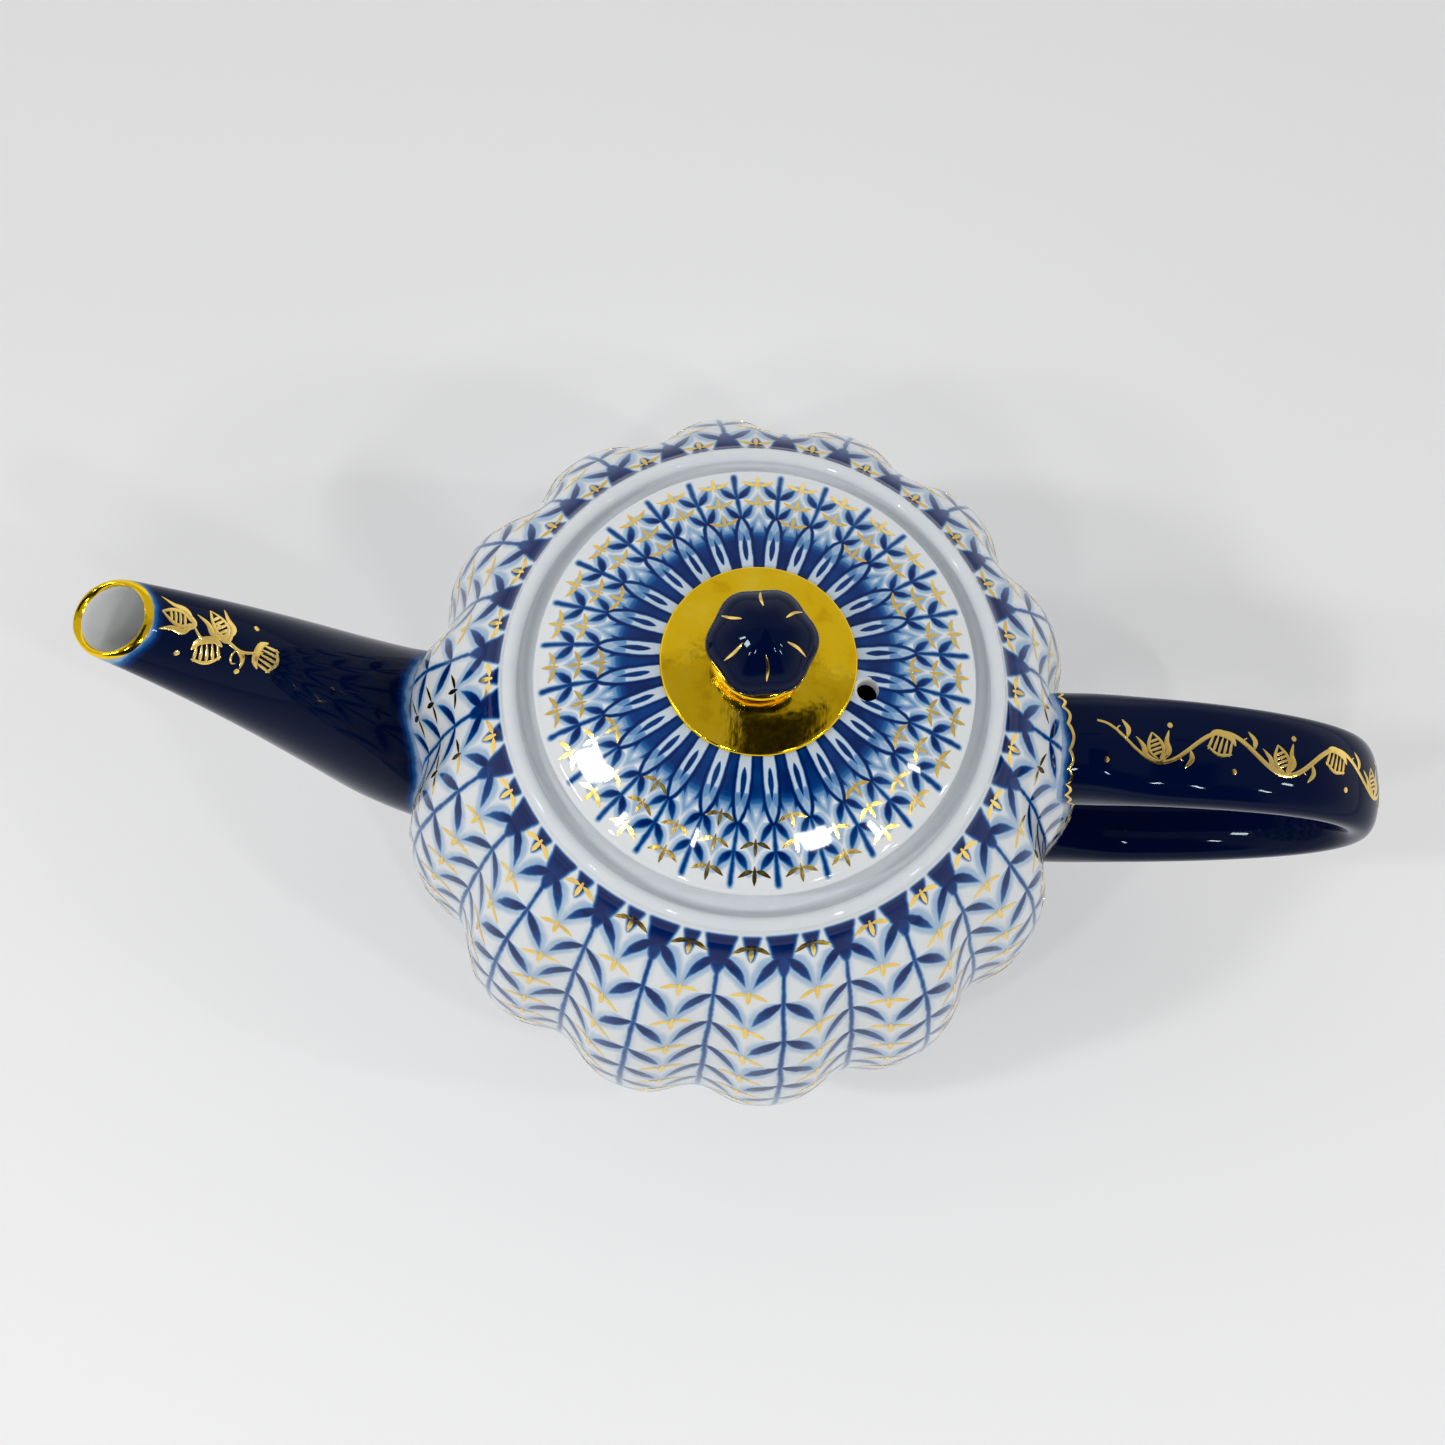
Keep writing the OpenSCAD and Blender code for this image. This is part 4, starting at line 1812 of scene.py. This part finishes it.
    def within(self, spout: Piece) -> Array:
        """Which faces look in on the spout's middle line, and so lie on its bore.

        Args:
            spout: The trimmed spout.

        Returns:
            True for each face of the bore.
        """
        middles = face_middles(spout)
        points = self.curve.at(np.linspace(0, 1, 240))
        line = np.column_stack([points[:, 0], np.zeros(len(points)), points[:, 1]])
        gaps = middles[:, None, :] - line[None]
        nearest = (gaps**2).sum(axis=2).argmin(axis=1)
        outwards = np.einsum("ij,ij->i", face_normals(spout), middles - line[nearest])
        return outwards < 0


@dataclass(frozen=True)
class SpoutFace(Surface):
    """The spout's upper face, drawn from the lip down towards the pot."""

    spout: Spout

    def point(self, across: Array, along: Array) -> Array:
        """Places on the spout; across runs towards -Y.

        Args:
            across: Distances across the drawing.
            along: Distances along the drawing.

        Returns:
            The places, one row each.
        """
        spout = self.spout
        shares = np.linspace(1, 0.25, 200)
        middle = spout.curve.at(shares)
        turn, _ = spout.turns(shares)
        half_w, half_h = spout.half_sizes(shares)
        out = np.column_stack([np.sin(turn), -np.cos(turn)])
        run = travelled(middle + out * half_h[:, None])
        rows = (*middle.T, *out.T, half_w, half_h)
        x, z, out_x, out_z, wide, high = (np.interp(along, run, row) for row in rows)
        turned = across / wide
        lift = high * np.cos(turned)
        return np.column_stack([x + out_x * lift, -wide * np.sin(turned), z + out_z * lift])


# ---- Handle ----


@dataclass
class Handle(Casting):
    """The strap bent in a loop, trimmed to the wall at both roots, with a gold vine along it."""

    upper: Bezier = Bezier(((52, 77.5), (72, 85), (112, 86), (112, 63)))
    lower: Bezier = Bezier(((112, 63), (112, 44), (84, 35), (54, 25)))
    root_half_w: float = 9.6
    middle_half_w: float = 8.6
    root_half_t: float = 4.9
    middle_half_t: float = 3.7
    root_flare: float = 3.0
    square: float = 2.5
    upper_root: float = 0.1
    lower_root: float = 0.88
    swell_share: float = 0.85
    flare_share: float = 0.24
    steps: int = 72
    around: int = 48
    root_reach: float = 5.0
    root_sunk: float = 0.6
    glaze_run: float = 1.2
    vine_start: float = 10.0
    vine_end: float = 78.0
    vine_wave: float = 22.0
    vine_swing: float = 3.1
    head_inset: float = 0.3
    tulip_lean: float = 106.0
    tendril_lean: float = 118.0
    tendril_lag: float = 0.24
    dot_off: float = 3.6
    dot_lag: float = 0.08
    seam_off: float = 1.5
    seam_half_reach: float = 20.0
    scallops: int = 13
    scallop_height: float = 0.75

    def sizes(self, from_root: float) -> tuple[float, float]:
        """Half the strap's width and thickness at a share of a limb from its root.

        Args:
            from_root: Share of the limb from its root.

        Returns:
            Half the width and half the thickness.
        """
        swell = (1 - smooth(from_root / self.swell_share)) ** 1.5
        flare = self.root_flare * (1 - smooth(from_root / self.flare_share)) ** 2
        half_w = blend(self.middle_half_w, self.root_half_w, swell)
        return half_w, blend(self.middle_half_t, self.root_half_t, swell) + flare

    def ring(self, limb: Bezier, t: float, from_root: float) -> Array:
        """The strap's ring at t of a limb.

        Args:
            limb: The upper or the lower limb.
            t: Share of the limb.
            from_root: Share of the limb from its root.

        Returns:
            The ring's places.
        """
        half_w, half_t = self.sizes(max(0.0, from_root))
        share = np.array([t])
        turn = float(limb.turn(share)[0])
        return cross_ring(limb.at(share)[0], turn, half_w, half_t, self.square, self.around)

    def build(self) -> Piece:
        """Models the strap, trims its roots and glazes it.

        Returns:
            The finished piece.
        """
        rows = [self.ring(self.upper, t, t - self.upper_root) for t in np.linspace(0, 1, self.steps)]
        rows += [self.ring(self.lower, t, self.lower_root - t) for t in np.linspace(0, 1, self.steps)[1:]]
        inwards = np.array([self.root_reach, 0.0, 0.0])
        strap = loft("handle_cast", [rows[0] - inwards, *rows, rows[-1] - inwards])
        bore(strap, FORM.bulk(1, self.root_sunk))
        write_field(strap, "run", FORM.stand_off(places(strap)) * self.glaze_run)
        dress(strap, COBALT)
        return finish_piece(strap, "pot", "cobalt_glaze", "handle")

    def vine(self) -> list[Stroke]:
        """A vine that winds along the strap, with a flower at each bend.

        Returns:
            The strokes.
        """
        run = np.linspace(self.vine_start, self.vine_end, 40)
        phase = (run - self.vine_start) / self.vine_wave * TAU
        stem = tuple(zip(-self.vine_swing * np.cos(phase), run))
        strokes = [Stroke(stem, 0.8, 0.5, 0.5, 150)]
        bends = int((self.vine_end - self.vine_start) / self.vine_wave * 2) + 1
        for bend in range(bends):
            along = self.vine_start + bend * self.vine_wave / 2
            side = -1 if bend % 2 == 0 else 1
            across = side * self.vine_swing
            head, lean = (tulip(), self.tulip_lean) if side > 0 else (bell(), -self.tulip_lean)
            if bend:
                strokes += moved(head, across - side * self.head_inset, along, lean)
            root = along + self.vine_wave * self.tendril_lag
            strokes += tendril(across * 0.2, root, -side * self.tendril_lean, flip=side > 0)
            strokes.append(dot(-side * self.dot_off, along + self.vine_wave * self.dot_lag, 0.95))
        return strokes

    def gild(self) -> Piece:
        """Lays the vine along the strap and a scalloped line round its upper root.

        Returns:
            The gold as one piece.
        """
        vine = Brushwork(tuple(self.vine()), FINE).lay("handle_gold", [self.face()])
        reach = self.seam_half_reach
        steps = np.linspace(-reach, reach, 12 * self.scallops + 1)
        wave = np.abs(np.sin(np.linspace(0, math.pi * self.scallops, len(steps))))
        path = tuple(zip(steps, self.seam_off + self.scallop_height * wave))
        line = Stroke(path, 0.5, 0.8, 0.5, 20 * self.scallops)
        seam = Brushwork((line,), FINE).lay("seam_gold", [RootSeam(self)])
        return gilded(join([vine, seam], "handle_gold"), "pot")

    def face(self) -> StrapFace:
        """The strap's outer face, from the upper root round to the lower one.

        Returns:
            The face.
        """
        shares = np.linspace(0, 1, 160)
        middle = np.vstack([self.upper.at(shares), self.lower.at(shares[1:])])
        turn = np.unwrap(np.concatenate([self.upper.turn(shares), self.lower.turn(shares[1:])]))
        from_root = np.concatenate([shares - self.upper_root, self.lower_root - shares[1:]])
        sizes = np.array([self.sizes(max(0.0, u)) for u in from_root])
        return StrapFace(middle, turn, sizes[:, 0], sizes[:, 1], self.square)


@dataclass(frozen=True)
class StrapFace(Surface):
    """A strap's outer face, drawn along its length."""

    middle: Array
    turn: Array
    half_w: Array
    half_t: Array
    square: float

    def point(self, across: Array, along: Array) -> Array:
        """Places on the face; across runs towards -Y.

        Args:
            across: Distances across the drawing.
            along: Distances along the drawing.

        Returns:
            The places, one row each.
        """
        out = np.column_stack([-np.sin(self.turn), np.cos(self.turn)])
        run = travelled(self.middle + out * self.half_t[:, None])
        rows = (*self.middle.T, *out.T, self.half_w, self.half_t)
        x, z, out_x, out_z, wide, thick = (np.interp(along, run, row) for row in rows)
        lift = thick * (1 - np.minimum(0.999, np.abs(across / wide)) ** self.square) ** (1 / self.square)
        return np.column_stack([x + out_x * lift, -across, z + out_z * lift])


@dataclass(frozen=True)
class RootSeam(Surface):
    """The strap's skin by its upper root: across runs round the strap, along away from the wall."""

    strap: Handle
    girth: float = 56.0

    def point(self, across: Array, along: Array) -> Array:
        """Places on the skin; across 0 is on top and runs towards -Y.

        Args:
            across: Distances across the drawing.
            along: Distances along the drawing.

        Returns:
            The places, one row each.
        """
        strap = self.strap
        skins = np.array([strap.ring(strap.upper, t, t - strap.upper_root) for t in np.linspace(0, 0.5, 80)])
        off = np.array([FORM.stand_off(ring) for ring in skins])
        column = (np.asarray(across) / self.girth * strap.around) % strap.around
        first = np.floor(column).astype(int)
        found = []
        for k in (0, 1):
            picked = (first + k) % strap.around
            found.append(np.array([
                [np.interp(far, off[:, j], skins[:, j, axis]) for axis in range(3)]
                for far, j in zip(along, picked)
            ]))
        return blend(found[0], found[1], (column - first)[:, None])


# ---- Lid ----


@dataclass(frozen=True)
class LidForm:
    """The lid's dome, which its painting and its gold share."""

    radius: float = 35.0
    crown_z: float = 113.7
    dome_r: float = 74.75
    land_r: float = 14.2
    saucer_r: float = 15.2
    reach: float = 40.0
    ripple_height: float = 0.07
    ripple_start: float = 18.0
    ripple_fade: float = 8.0

    def dome_z(self, r: Array | float, drop: float = 0.0) -> Array:
        """Height of the dome at a radius, a drop under its outside."""
        return self.crown_z - self.dome_r + np.sqrt((self.dome_r - drop) ** 2 - np.square(r))

    def ripple(self, r: Array, turn: Array) -> Array:
        """The faint waves that the flutes leave in the dome."""
        wave = np.cos(FORM.flutes * (turn - math.radians(FORM.flute_turn)))
        return self.ripple_height * wave * smooth((r - self.ripple_start) / self.ripple_fade)

    def holds(self, spots: Array, near: float = 0.08) -> Array:
        """Which places lie on the dome's outside."""
        return np.abs(spots[:, 2] - self.dome_z(np.minimum(polar(spots)[0], self.reach))) < near

    def run(self, r: Array) -> Array:
        """Distance over the dome from the saucer's edge to a radius."""
        start = math.asin(self.saucer_r / self.dome_r)
        return (np.arcsin(np.clip(r, 0, 60) / self.dome_r) - start) * self.dome_r


LID_FORM = LidForm()


@dataclass(frozen=True)
class LidPatch(Surface):
    """The dome round a direction and a radius, drawn outwards."""

    turn: float
    radius: float
    size: float = 1.0

    def point(self, across: Array, along: Array) -> Array:
        """Places on the dome; across runs clockwise.

        Args:
            across: Distances across the drawing.
            along: Distances along the drawing.

        Returns:
            The places, one row each.
        """
        r = self.radius + along * self.size
        turn = self.turn - across * self.size / r
        return around_axis(r, turn, LID_FORM.dome_z(r) + LID_FORM.ripple(r, turn))


@dataclass
class Lid(Casting):
    """The domed lid with its land for the knob, its vent and its seat."""

    wall: float = 3.0
    seat_z: float = 100.7
    rounding: float = 0.9
    bevel: float = 0.6
    flank_r: float = 34.3
    hollow_r: float = 27.2
    land_inner_r: float = 8.0
    vent_r: float = 1.65
    vent_reach: float = 17.4
    vent_turn: float = -9.0
    vent_flare: float = 0.5
    vent_depths: tuple[Span, ...] = (
        (-12.0, 0.0), (-1.0, 0.0), (-0.55, 0.08), (-0.2, 0.28), (0.1, 0.75), (2.0, 3.2)
    )
    steps: int = 224
    gold_rings: tuple[tuple[float, int, float], ...] = ((31.6, 1, 0.66), (27.6, 1, 0.6), (23.9, 2, 0.6))

    def section(self) -> list[Spot]:
        """Points round the lid's section.

        Returns:
            The points as (radius, height).
        """
        shoulder = LID_FORM.radius - self.rounding
        top = float(LID_FORM.dome_z(shoulder))
        edge = arc((shoulder, top - self.rounding), self.rounding, -30, 75, 13)
        dome_r = np.linspace(shoulder, LID_FORM.land_r, 44)
        hollow_r = np.linspace(0, self.hollow_r, 16)
        land_z = float(LID_FORM.dome_z(LID_FORM.land_r))
        return [
            (self.hollow_r, self.seat_z),
            (self.flank_r - self.bevel, self.seat_z),
            (self.flank_r, self.seat_z + self.bevel),
            *edge,
            *zip(dome_r, LID_FORM.dome_z(dome_r)),
            (self.land_inner_r, land_z),
            (0.0, land_z),
            *zip(hollow_r, LID_FORM.dome_z(hollow_r, self.wall)),
        ]

    def vent(self) -> Piece:
        """The drill for the vent, flared where the glaze rounds the hole's edge.

        Returns:
            The drill.
        """
        turn = math.radians(self.vent_turn)
        middle = (self.vent_reach * math.cos(turn), self.vent_reach * math.sin(turn), 0.0)
        top = float(LID_FORM.dome_z(self.vent_reach))
        a = np.linspace(0, TAU, 32, endpoint=False)
        rings = [
            around_axis(self.vent_r + flare * self.vent_flare, a, top + depth) + middle
            for depth, flare in self.vent_depths
        ]
        return loft("vent_drill", rings)

    def build(self) -> Piece:
        """Models the lid, drills the vent and paints the dome.

        Returns:
            The finished piece.
        """
        lid = lathe("lid_cast", self.section(), self.steps)
        bore(lid, self.vent())
        write_field(lid, "run", LID_FORM.run(polar(places(lid))[0]))
        middles = face_middles(lid)
        radius, _ = polar(middles)
        on_dome = LID_FORM.holds(middles) & (radius > LID_FORM.land_r)
        dress(lid, GLAZE, LID_PAINT)
        paint_faces(lid, on_dome | (radius > self.flank_r - 0.1))
        self.ripple(lid)
        return finish_piece(lid, "lid", "painted_porcelain", "lid")

    def ripple(self, lid: Piece) -> None:
        """Lifts and lowers the dome along its faint waves.

        Args:
            lid: The painted lid.
        """
        spots = places(lid)
        radius, turn = polar(spots)
        inside_edge = radius < LID_FORM.radius - self.rounding + 0.05
        spots[:, 2] += LID_FORM.ripple(radius, turn) * (LID_FORM.holds(spots) & inside_edge)
        put(lid, spots)

    def gild(self) -> Piece:
        """Lays rings of gold sprigs between the rays.

        Returns:
            The gold as one piece.
        """
        patches = []
        for radius, every, size in self.gold_rings:
            for ray in range(0, LID_PAINT.rays, every):
                turn = math.radians(LID_PAINT.ray_turn) + (ray + 0.5) * TAU / LID_PAINT.rays
                patches.append(LidPatch(turn, radius, size))
        return gilded(Brushwork(sprig()).lay("lid_gold", patches), "lid")


@dataclass
class LidFlange(Casting):
    """The collar under the lid that keeps it in the mouth."""

    outer_r: float = 30.6
    wall: float = 2.4
    seat_z: float = 100.7
    bottom_z: float = 92.4
    taper: float = 0.6
    rounding: float = 0.8

    def build(self) -> Piece:
        """Models the collar with rounded lower edges.

        Returns:
            The finished piece.
        """
        inner = self.outer_r - self.wall
        low = self.bottom_z + self.rounding
        end = rounded_end(self.outer_r - self.taper, inner, low, self.rounding)
        collar = lathe("lid_collar", [(inner, self.seat_z), (self.outer_r, self.seat_z), *end], 160)
        dress(collar, GLAZE)
        return finish_piece(collar, "lid", "white_glaze", "lid_flange")


# ---- Knob ----


@dataclass
class KnobSaucer(Casting):
    """The gilded saucer that flares from under the bud on to the lid."""

    radius: float = 15.2
    land_z: float = 112.35
    edge: float = 1.0
    edge_roll: float = 0.6
    height: float = 5.2
    crown: float = 1.0
    cove: float = 0.5
    neck_r: float = 5.6
    collar_r: float = 7.7
    collar_round: float = 0.9

    def section(self) -> list[Spot]:
        """Points round the saucer's section.

        Returns:
            The points as (radius, height).
        """
        top = self.land_z + self.height
        edge_top = self.land_z + self.edge
        rim = arc((self.radius - self.edge / 2, self.land_z + self.edge / 2), self.edge / 2, -80, 80, 11)
        share = np.linspace(0, 1, 44) ** 0.8
        flare_r = blend(self.radius - self.edge_roll, self.neck_r, share)
        neck_rise = top - self.collar_round * 2 - edge_top - self.crown
        cove = neck_rise * np.exp((self.neck_r - flare_r) / self.cove)
        flare_z = edge_top + self.crown * (1 - (1 - share) ** 2) + cove
        centre = (self.collar_r - self.collar_round, top - self.collar_round)
        collar = arc(centre, self.collar_round, -60, 90, 13)
        return [
            (0.0, self.land_z),
            (LID_FORM.land_r, self.land_z),
            *rim,
            *list(zip(flare_r, flare_z))[1:],
            *collar,
            (0.0, top),
        ]

    def build(self) -> Piece:
        """Models the saucer and gilds it.

        Returns:
            The finished piece.
        """
        saucer = lathe("knob_foot", self.section(), 192)
        dress(saucer, GOLD)
        return finish_piece(saucer, "lid", "gilding", "knob_saucer")


@dataclass(frozen=True)
class BudForm:
    """The lobed bud's outside."""

    foot_z: float = 117.55
    radius: float = 8.5
    height: float = 10.8
    foot_r: float = 6.1
    waist: float = 0.36
    crown: float = 0.62
    lobes: int = 6
    groove: float = 0.6
    groove_share: float = 0.25
    softness: float = 1.8
    turn: float = math.radians(9)

    def swell(self, s: Array) -> Array:
        """Radius over the lobes at a share of the height.

        Args:
            s: Shares of the height.

        Returns:
            The radii.
        """
        low = blend(self.foot_r, self.radius, np.sin(math.pi / 2 * np.minimum(s, self.waist) / self.waist))
        rest = np.clip((s - self.waist) / (1 - self.waist), 0, 1)
        high = self.radius * np.maximum(0, np.cos(math.pi / 2 * rest)) ** self.crown
        return np.where(s < self.waist, low, high)

    def place(self, s: Array, turn: Array) -> Array:
        """Places at shares of the height and directions from the first lobe.

        Args:
            s: Shares of the height.
            turn: Directions, in radians.

        Returns:
            The places, one row each.
        """
        swell = self.swell(s)
        depth = self.groove * smooth(s / self.groove_share) * swell / self.radius
        valley = 1 - (np.abs(np.cos(self.lobes * turn / 2)) + 1e-4) ** self.softness
        r = swell - depth * valley
        return around_axis(r, turn + self.turn, self.foot_z + self.height * s)


BUD_FORM = BudForm()


@dataclass
class KnobBud(Casting):
    """The bud that the lid is lifted by."""

    around: int = 120
    steps: int = 56
    tip_share: float = 0.9985
    thick_run: float = 9.0

    def build(self) -> Piece:
        """Models the bud and glazes it.

        Returns:
            The finished piece.
        """
        a = np.linspace(0, TAU, self.around, endpoint=False)
        shares = self.tip_share * np.sin(np.linspace(0, math.pi / 2, self.steps))
        rings = [BUD_FORM.place(np.full_like(a, s), a) for s in shares]
        bud = loft("knob_bud_cast", rings)
        write_field(bud, "run", np.full(len(bud.data.vertices), self.thick_run))
        dress(bud, COBALT)
        return finish_piece(bud, "lid", "cobalt_glaze", "knob_bud", angle=60)

    def gild(self) -> Piece:
        """Lays one gold stroke in each groove.

        Returns:
            The gold as one piece.
        """
        stroke = Stroke(((0.15, 4.2), (-0.1, 6.3), (0.1, 8.6)), 0.5, 0.2, 0.45, 10)
        grooves = [BudFace((k + 0.5) * TAU / BUD_FORM.lobes) for k in range(BUD_FORM.lobes)]
        return gilded(Brushwork((stroke,), FINE).lay("bud_gold", grooves), "lid")


@dataclass(frozen=True)
class BudFace(Surface):
    """The bud's outside round a direction from its first lobe, drawn down from the tip."""

    turn: float

    def point(self, across: Array, along: Array) -> Array:
        """Places on the bud; across runs clockwise.

        Args:
            across: Distances across the drawing.
            along: Distances along the drawing.

        Returns:
            The places, one row each.
        """
        shares = 1 - np.linspace(0, 1, 300) ** 2
        outline = np.column_stack([BUD_FORM.swell(shares), BUD_FORM.height * shares])
        run = travelled(outline)
        radius = np.maximum(0.5, np.interp(along, run, outline[:, 0]))
        return BUD_FORM.place(np.interp(along, run, shares), self.turn - across / radius)


# ---- Studio ----


LAMP_AIM_Z = 0.07  # height that the lamps face, in metres


@dataclass(frozen=True)
class Lamp:
    """A soft rectangular lamp that faces the pot, with its distance and its size in metres."""

    name: str
    azimuth: float
    elevation: float
    distance: float
    width: float
    height: float
    watts: float

    def hang(self) -> Piece:
        """Makes the lamp; azimuth 0 is in front, and 90 is on the handle's side.

        Returns:
            The lamp.
        """
        a, e = math.radians(self.azimuth), math.radians(self.elevation)
        way = Vector((math.sin(a) * math.cos(e), -math.cos(a) * math.cos(e), math.sin(e)))
        clear_selection()
        bpy.ops.object.light_add(type="AREA", location=way * self.distance + Vector((0, 0, LAMP_AIM_Z)))
        lamp = bpy.context.object
        lamp.name = lamp.data.name = self.name
        lamp.rotation_euler = way.to_track_quat("Z", "Y").to_euler()
        lamp.data.shape = "RECTANGLE"
        lamp.data.size, lamp.data.size_y = self.width, self.height
        lamp.data.energy = self.watts
        return lamp


@dataclass(frozen=True)
class Board:
    """A dark board in the room: how dark it is, and between which directions each edge comes in.

    The edges go by x, y, z or aside, which is x on either side.
    """

    dark: float
    edges: tuple[tuple[str, float, float], ...]

    def shade(self, way: dict[str, Field]) -> Field:
        """The share of the room's light that the board takes away, by direction.

        Args:
            way: The field of each axis, by its name.

        Returns:
            The share that is taken away.
        """
        shares = [way[axis].rise(start, end) for axis, start, end in self.edges]
        shade = shares[0]
        for share in shares[1:]:
            shade = shade * share
        return shade * self.dark


@dataclass
class Studio:
    """The pale floor, the soft light and the camera.

    The floor's size and drop are in metres, the eye and the span of its painted light in millimetres.
    """

    focal_px: float = 1600.0
    frame_px: float = 1445.0
    sensor_mm: float = 36.0
    eye: tuple[float, float, float] = (-8.3, -75.5, 345.7)
    tilt: float = 15.5
    roll: float = -2.2
    yaw: float = 4.72
    floor_size: float = 6.0
    floor_drop: float = 0.0002
    paper_roughness: float = 0.75
    backdrop: Colour = (0.78, 0.78, 0.782)
    # painted light on the floor: emission seen by camera, glossy and transmission rays, stronger towards the
    # front
    painted_floor_light: Span = (0.15, 0.23)
    painted_floor_light_span: Span = (150.0, -250.0)
    room_light: float = 0.54
    low_light: float = 0.45
    left_light: float = 0.12
    front: Board = Board(0.9, (("y", -0.2, -0.42), ("aside", 0.65, 0.42), ("z", 0.16, 0.38)))
    ceiling: Board = Board(0.22, (("y", 0.31, 0.25),))
    shelter: Board = Board(0.9, (("y", 0.16, 0.1), ("x", -0.1, -0.02), ("x", 0.42, 0.3)))
    beam: Board = Board(0.7, (("y", 0.33, 0.32), ("y", 0.295, 0.305), ("aside", 0.3, 0.2)))
    lamps: tuple[Lamp, ...] = (
        Lamp("window_left", -72, 47, 0.9, 0.052, 0.105, 1.35),
        Lamp("window_left_front", -46, 48, 0.9, 0.028, 0.068, 0.6),
        Lamp("window_front", -19, 56, 0.9, 0.028, 0.075, 0.65),
        Lamp("window_right_front", 37, 54, 0.9, 0.022, 0.075, 0.6),
        Lamp("window_right", 61, 45, 0.9, 0.034, 0.068, 0.65),
        Lamp("window_far_right", 84, 43, 0.9, 0.032, 0.06, 0.5),
    )

    def camera(self) -> None:
        """Stands the camera over the front of the pot."""
        clear_selection()
        bpy.ops.object.camera_add()
        camera = bpy.context.object
        camera.name = camera.data.name = "camera"
        camera.data.sensor_width = self.sensor_mm
        camera.data.lens = self.focal_px / self.frame_px * self.sensor_mm
        camera.data.clip_start = 0.01
        turn = Euler((0, 0, math.radians(self.yaw))).to_matrix()
        turn = turn @ Euler((0, math.radians(self.roll), 0)).to_matrix()
        turn = turn @ Euler((math.radians(self.tilt), 0, 0)).to_matrix()
        matrix = turn.to_4x4()
        matrix.translation = Vector(self.eye) * MM
        camera.matrix_world = matrix
        bpy.context.scene.camera = camera

    def floor(self) -> None:
        """Lays the floor that catches the pot's shadow, with painted light that makes it brighter towards the
        front.
        """
        clear_selection()
        bpy.ops.mesh.primitive_plane_add(size=self.floor_size, location=(0, 0, -self.floor_drop))
        floor = named("floor")
        material = bpy.data.materials.new("floor_paper")
        material.use_nodes = True
        tree = material.node_tree
        shader = tree.nodes["Principled BSDF"]
        shader.inputs["Base Color"].default_value = (*self.backdrop, 1.0)
        shader.inputs["Roughness"].default_value = self.paper_roughness
        seen = tree.nodes.new("ShaderNodeLightPath").outputs
        camera, glossy, through = (
            Field(tree, seen[f"Is {kind} Ray"]) for kind in ("Camera", "Glossy", "Transmission")
        )
        _, y, _ = Sheet(tree).axes()
        # Painted light: the floor glows for camera, glossy and transmission rays, more towards the front,
        # which also lifts the pot's shadow
        painted_light = camera.most(glossy).most(through) * y.rise(*self.painted_floor_light_span).between(*self.painted_floor_light)
        shader.inputs["Emission Color"].default_value = (1.0, 1.0, 1.0, 1.0)
        wire(tree, painted_light, shader.inputs["Emission Strength"])
        floor.data.materials.append(material)

    def sky(self) -> None:
        """Sets a soft even room, brighter near the floor and dark high up in front."""
        world = bpy.data.worlds.new("room")
        world.use_nodes = True
        bpy.context.scene.world = world
        tree = world.node_tree
        background = tree.nodes["Background"]
        split = tree.nodes.new("ShaderNodeSeparateXYZ")
        tree.links.new(tree.nodes.new("ShaderNodeTexCoord").outputs["Generated"], split.inputs[0])
        x, y, z = (Field(tree, out) for out in split.outputs)
        way = {"x": x, "y": y, "z": z, "aside": x.abs()}
        light = z.rise(0.45, 0.1) * self.low_light + x.rise(-0.3, -0.9) * self.left_light + self.room_light
        front, ceiling, shelter, beam = (
            board.shade(way) for board in (self.front, self.ceiling, self.shelter, self.beam)
        )
        overhead = ceiling.most(shelter).most(beam) * z.rise(0.4, 0.62)
        light = light * front.most(overhead).opposite()
        colour = light.colours((0.0, (0.0, 0.0, 0.0)), (1.0, (1.0, 1.0, 1.0)))
        tree.links.new(colour, background.inputs["Color"])
        background.inputs["Strength"].default_value = 1.0

    def build(self) -> None:
        """Makes the floor, the light and the camera."""
        self.floor()
        self.sky()
        for lamp in self.lamps:
            lamp.hang()
        self.camera()
        bpy.context.scene.view_settings.view_transform = "Standard"


# ---- Making ----


def main() -> None:
    """Builds the studio and the pot, piece by piece."""
    logging.basicConfig(level=logging.INFO, format="%(message)s")
    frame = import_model()
    log.info("frame with %d nodes", len(frame["nodes"]))
    Studio().build()
    castings: list[Casting] = [
        PotBody(), FootRing(), Spout(), Handle(), Lid(), LidFlange(), KnobSaucer(), KnobBud()
    ]
    for casting in castings:
        casting.build()
        casting.gild()


if __name__ == "__main__":
    main()
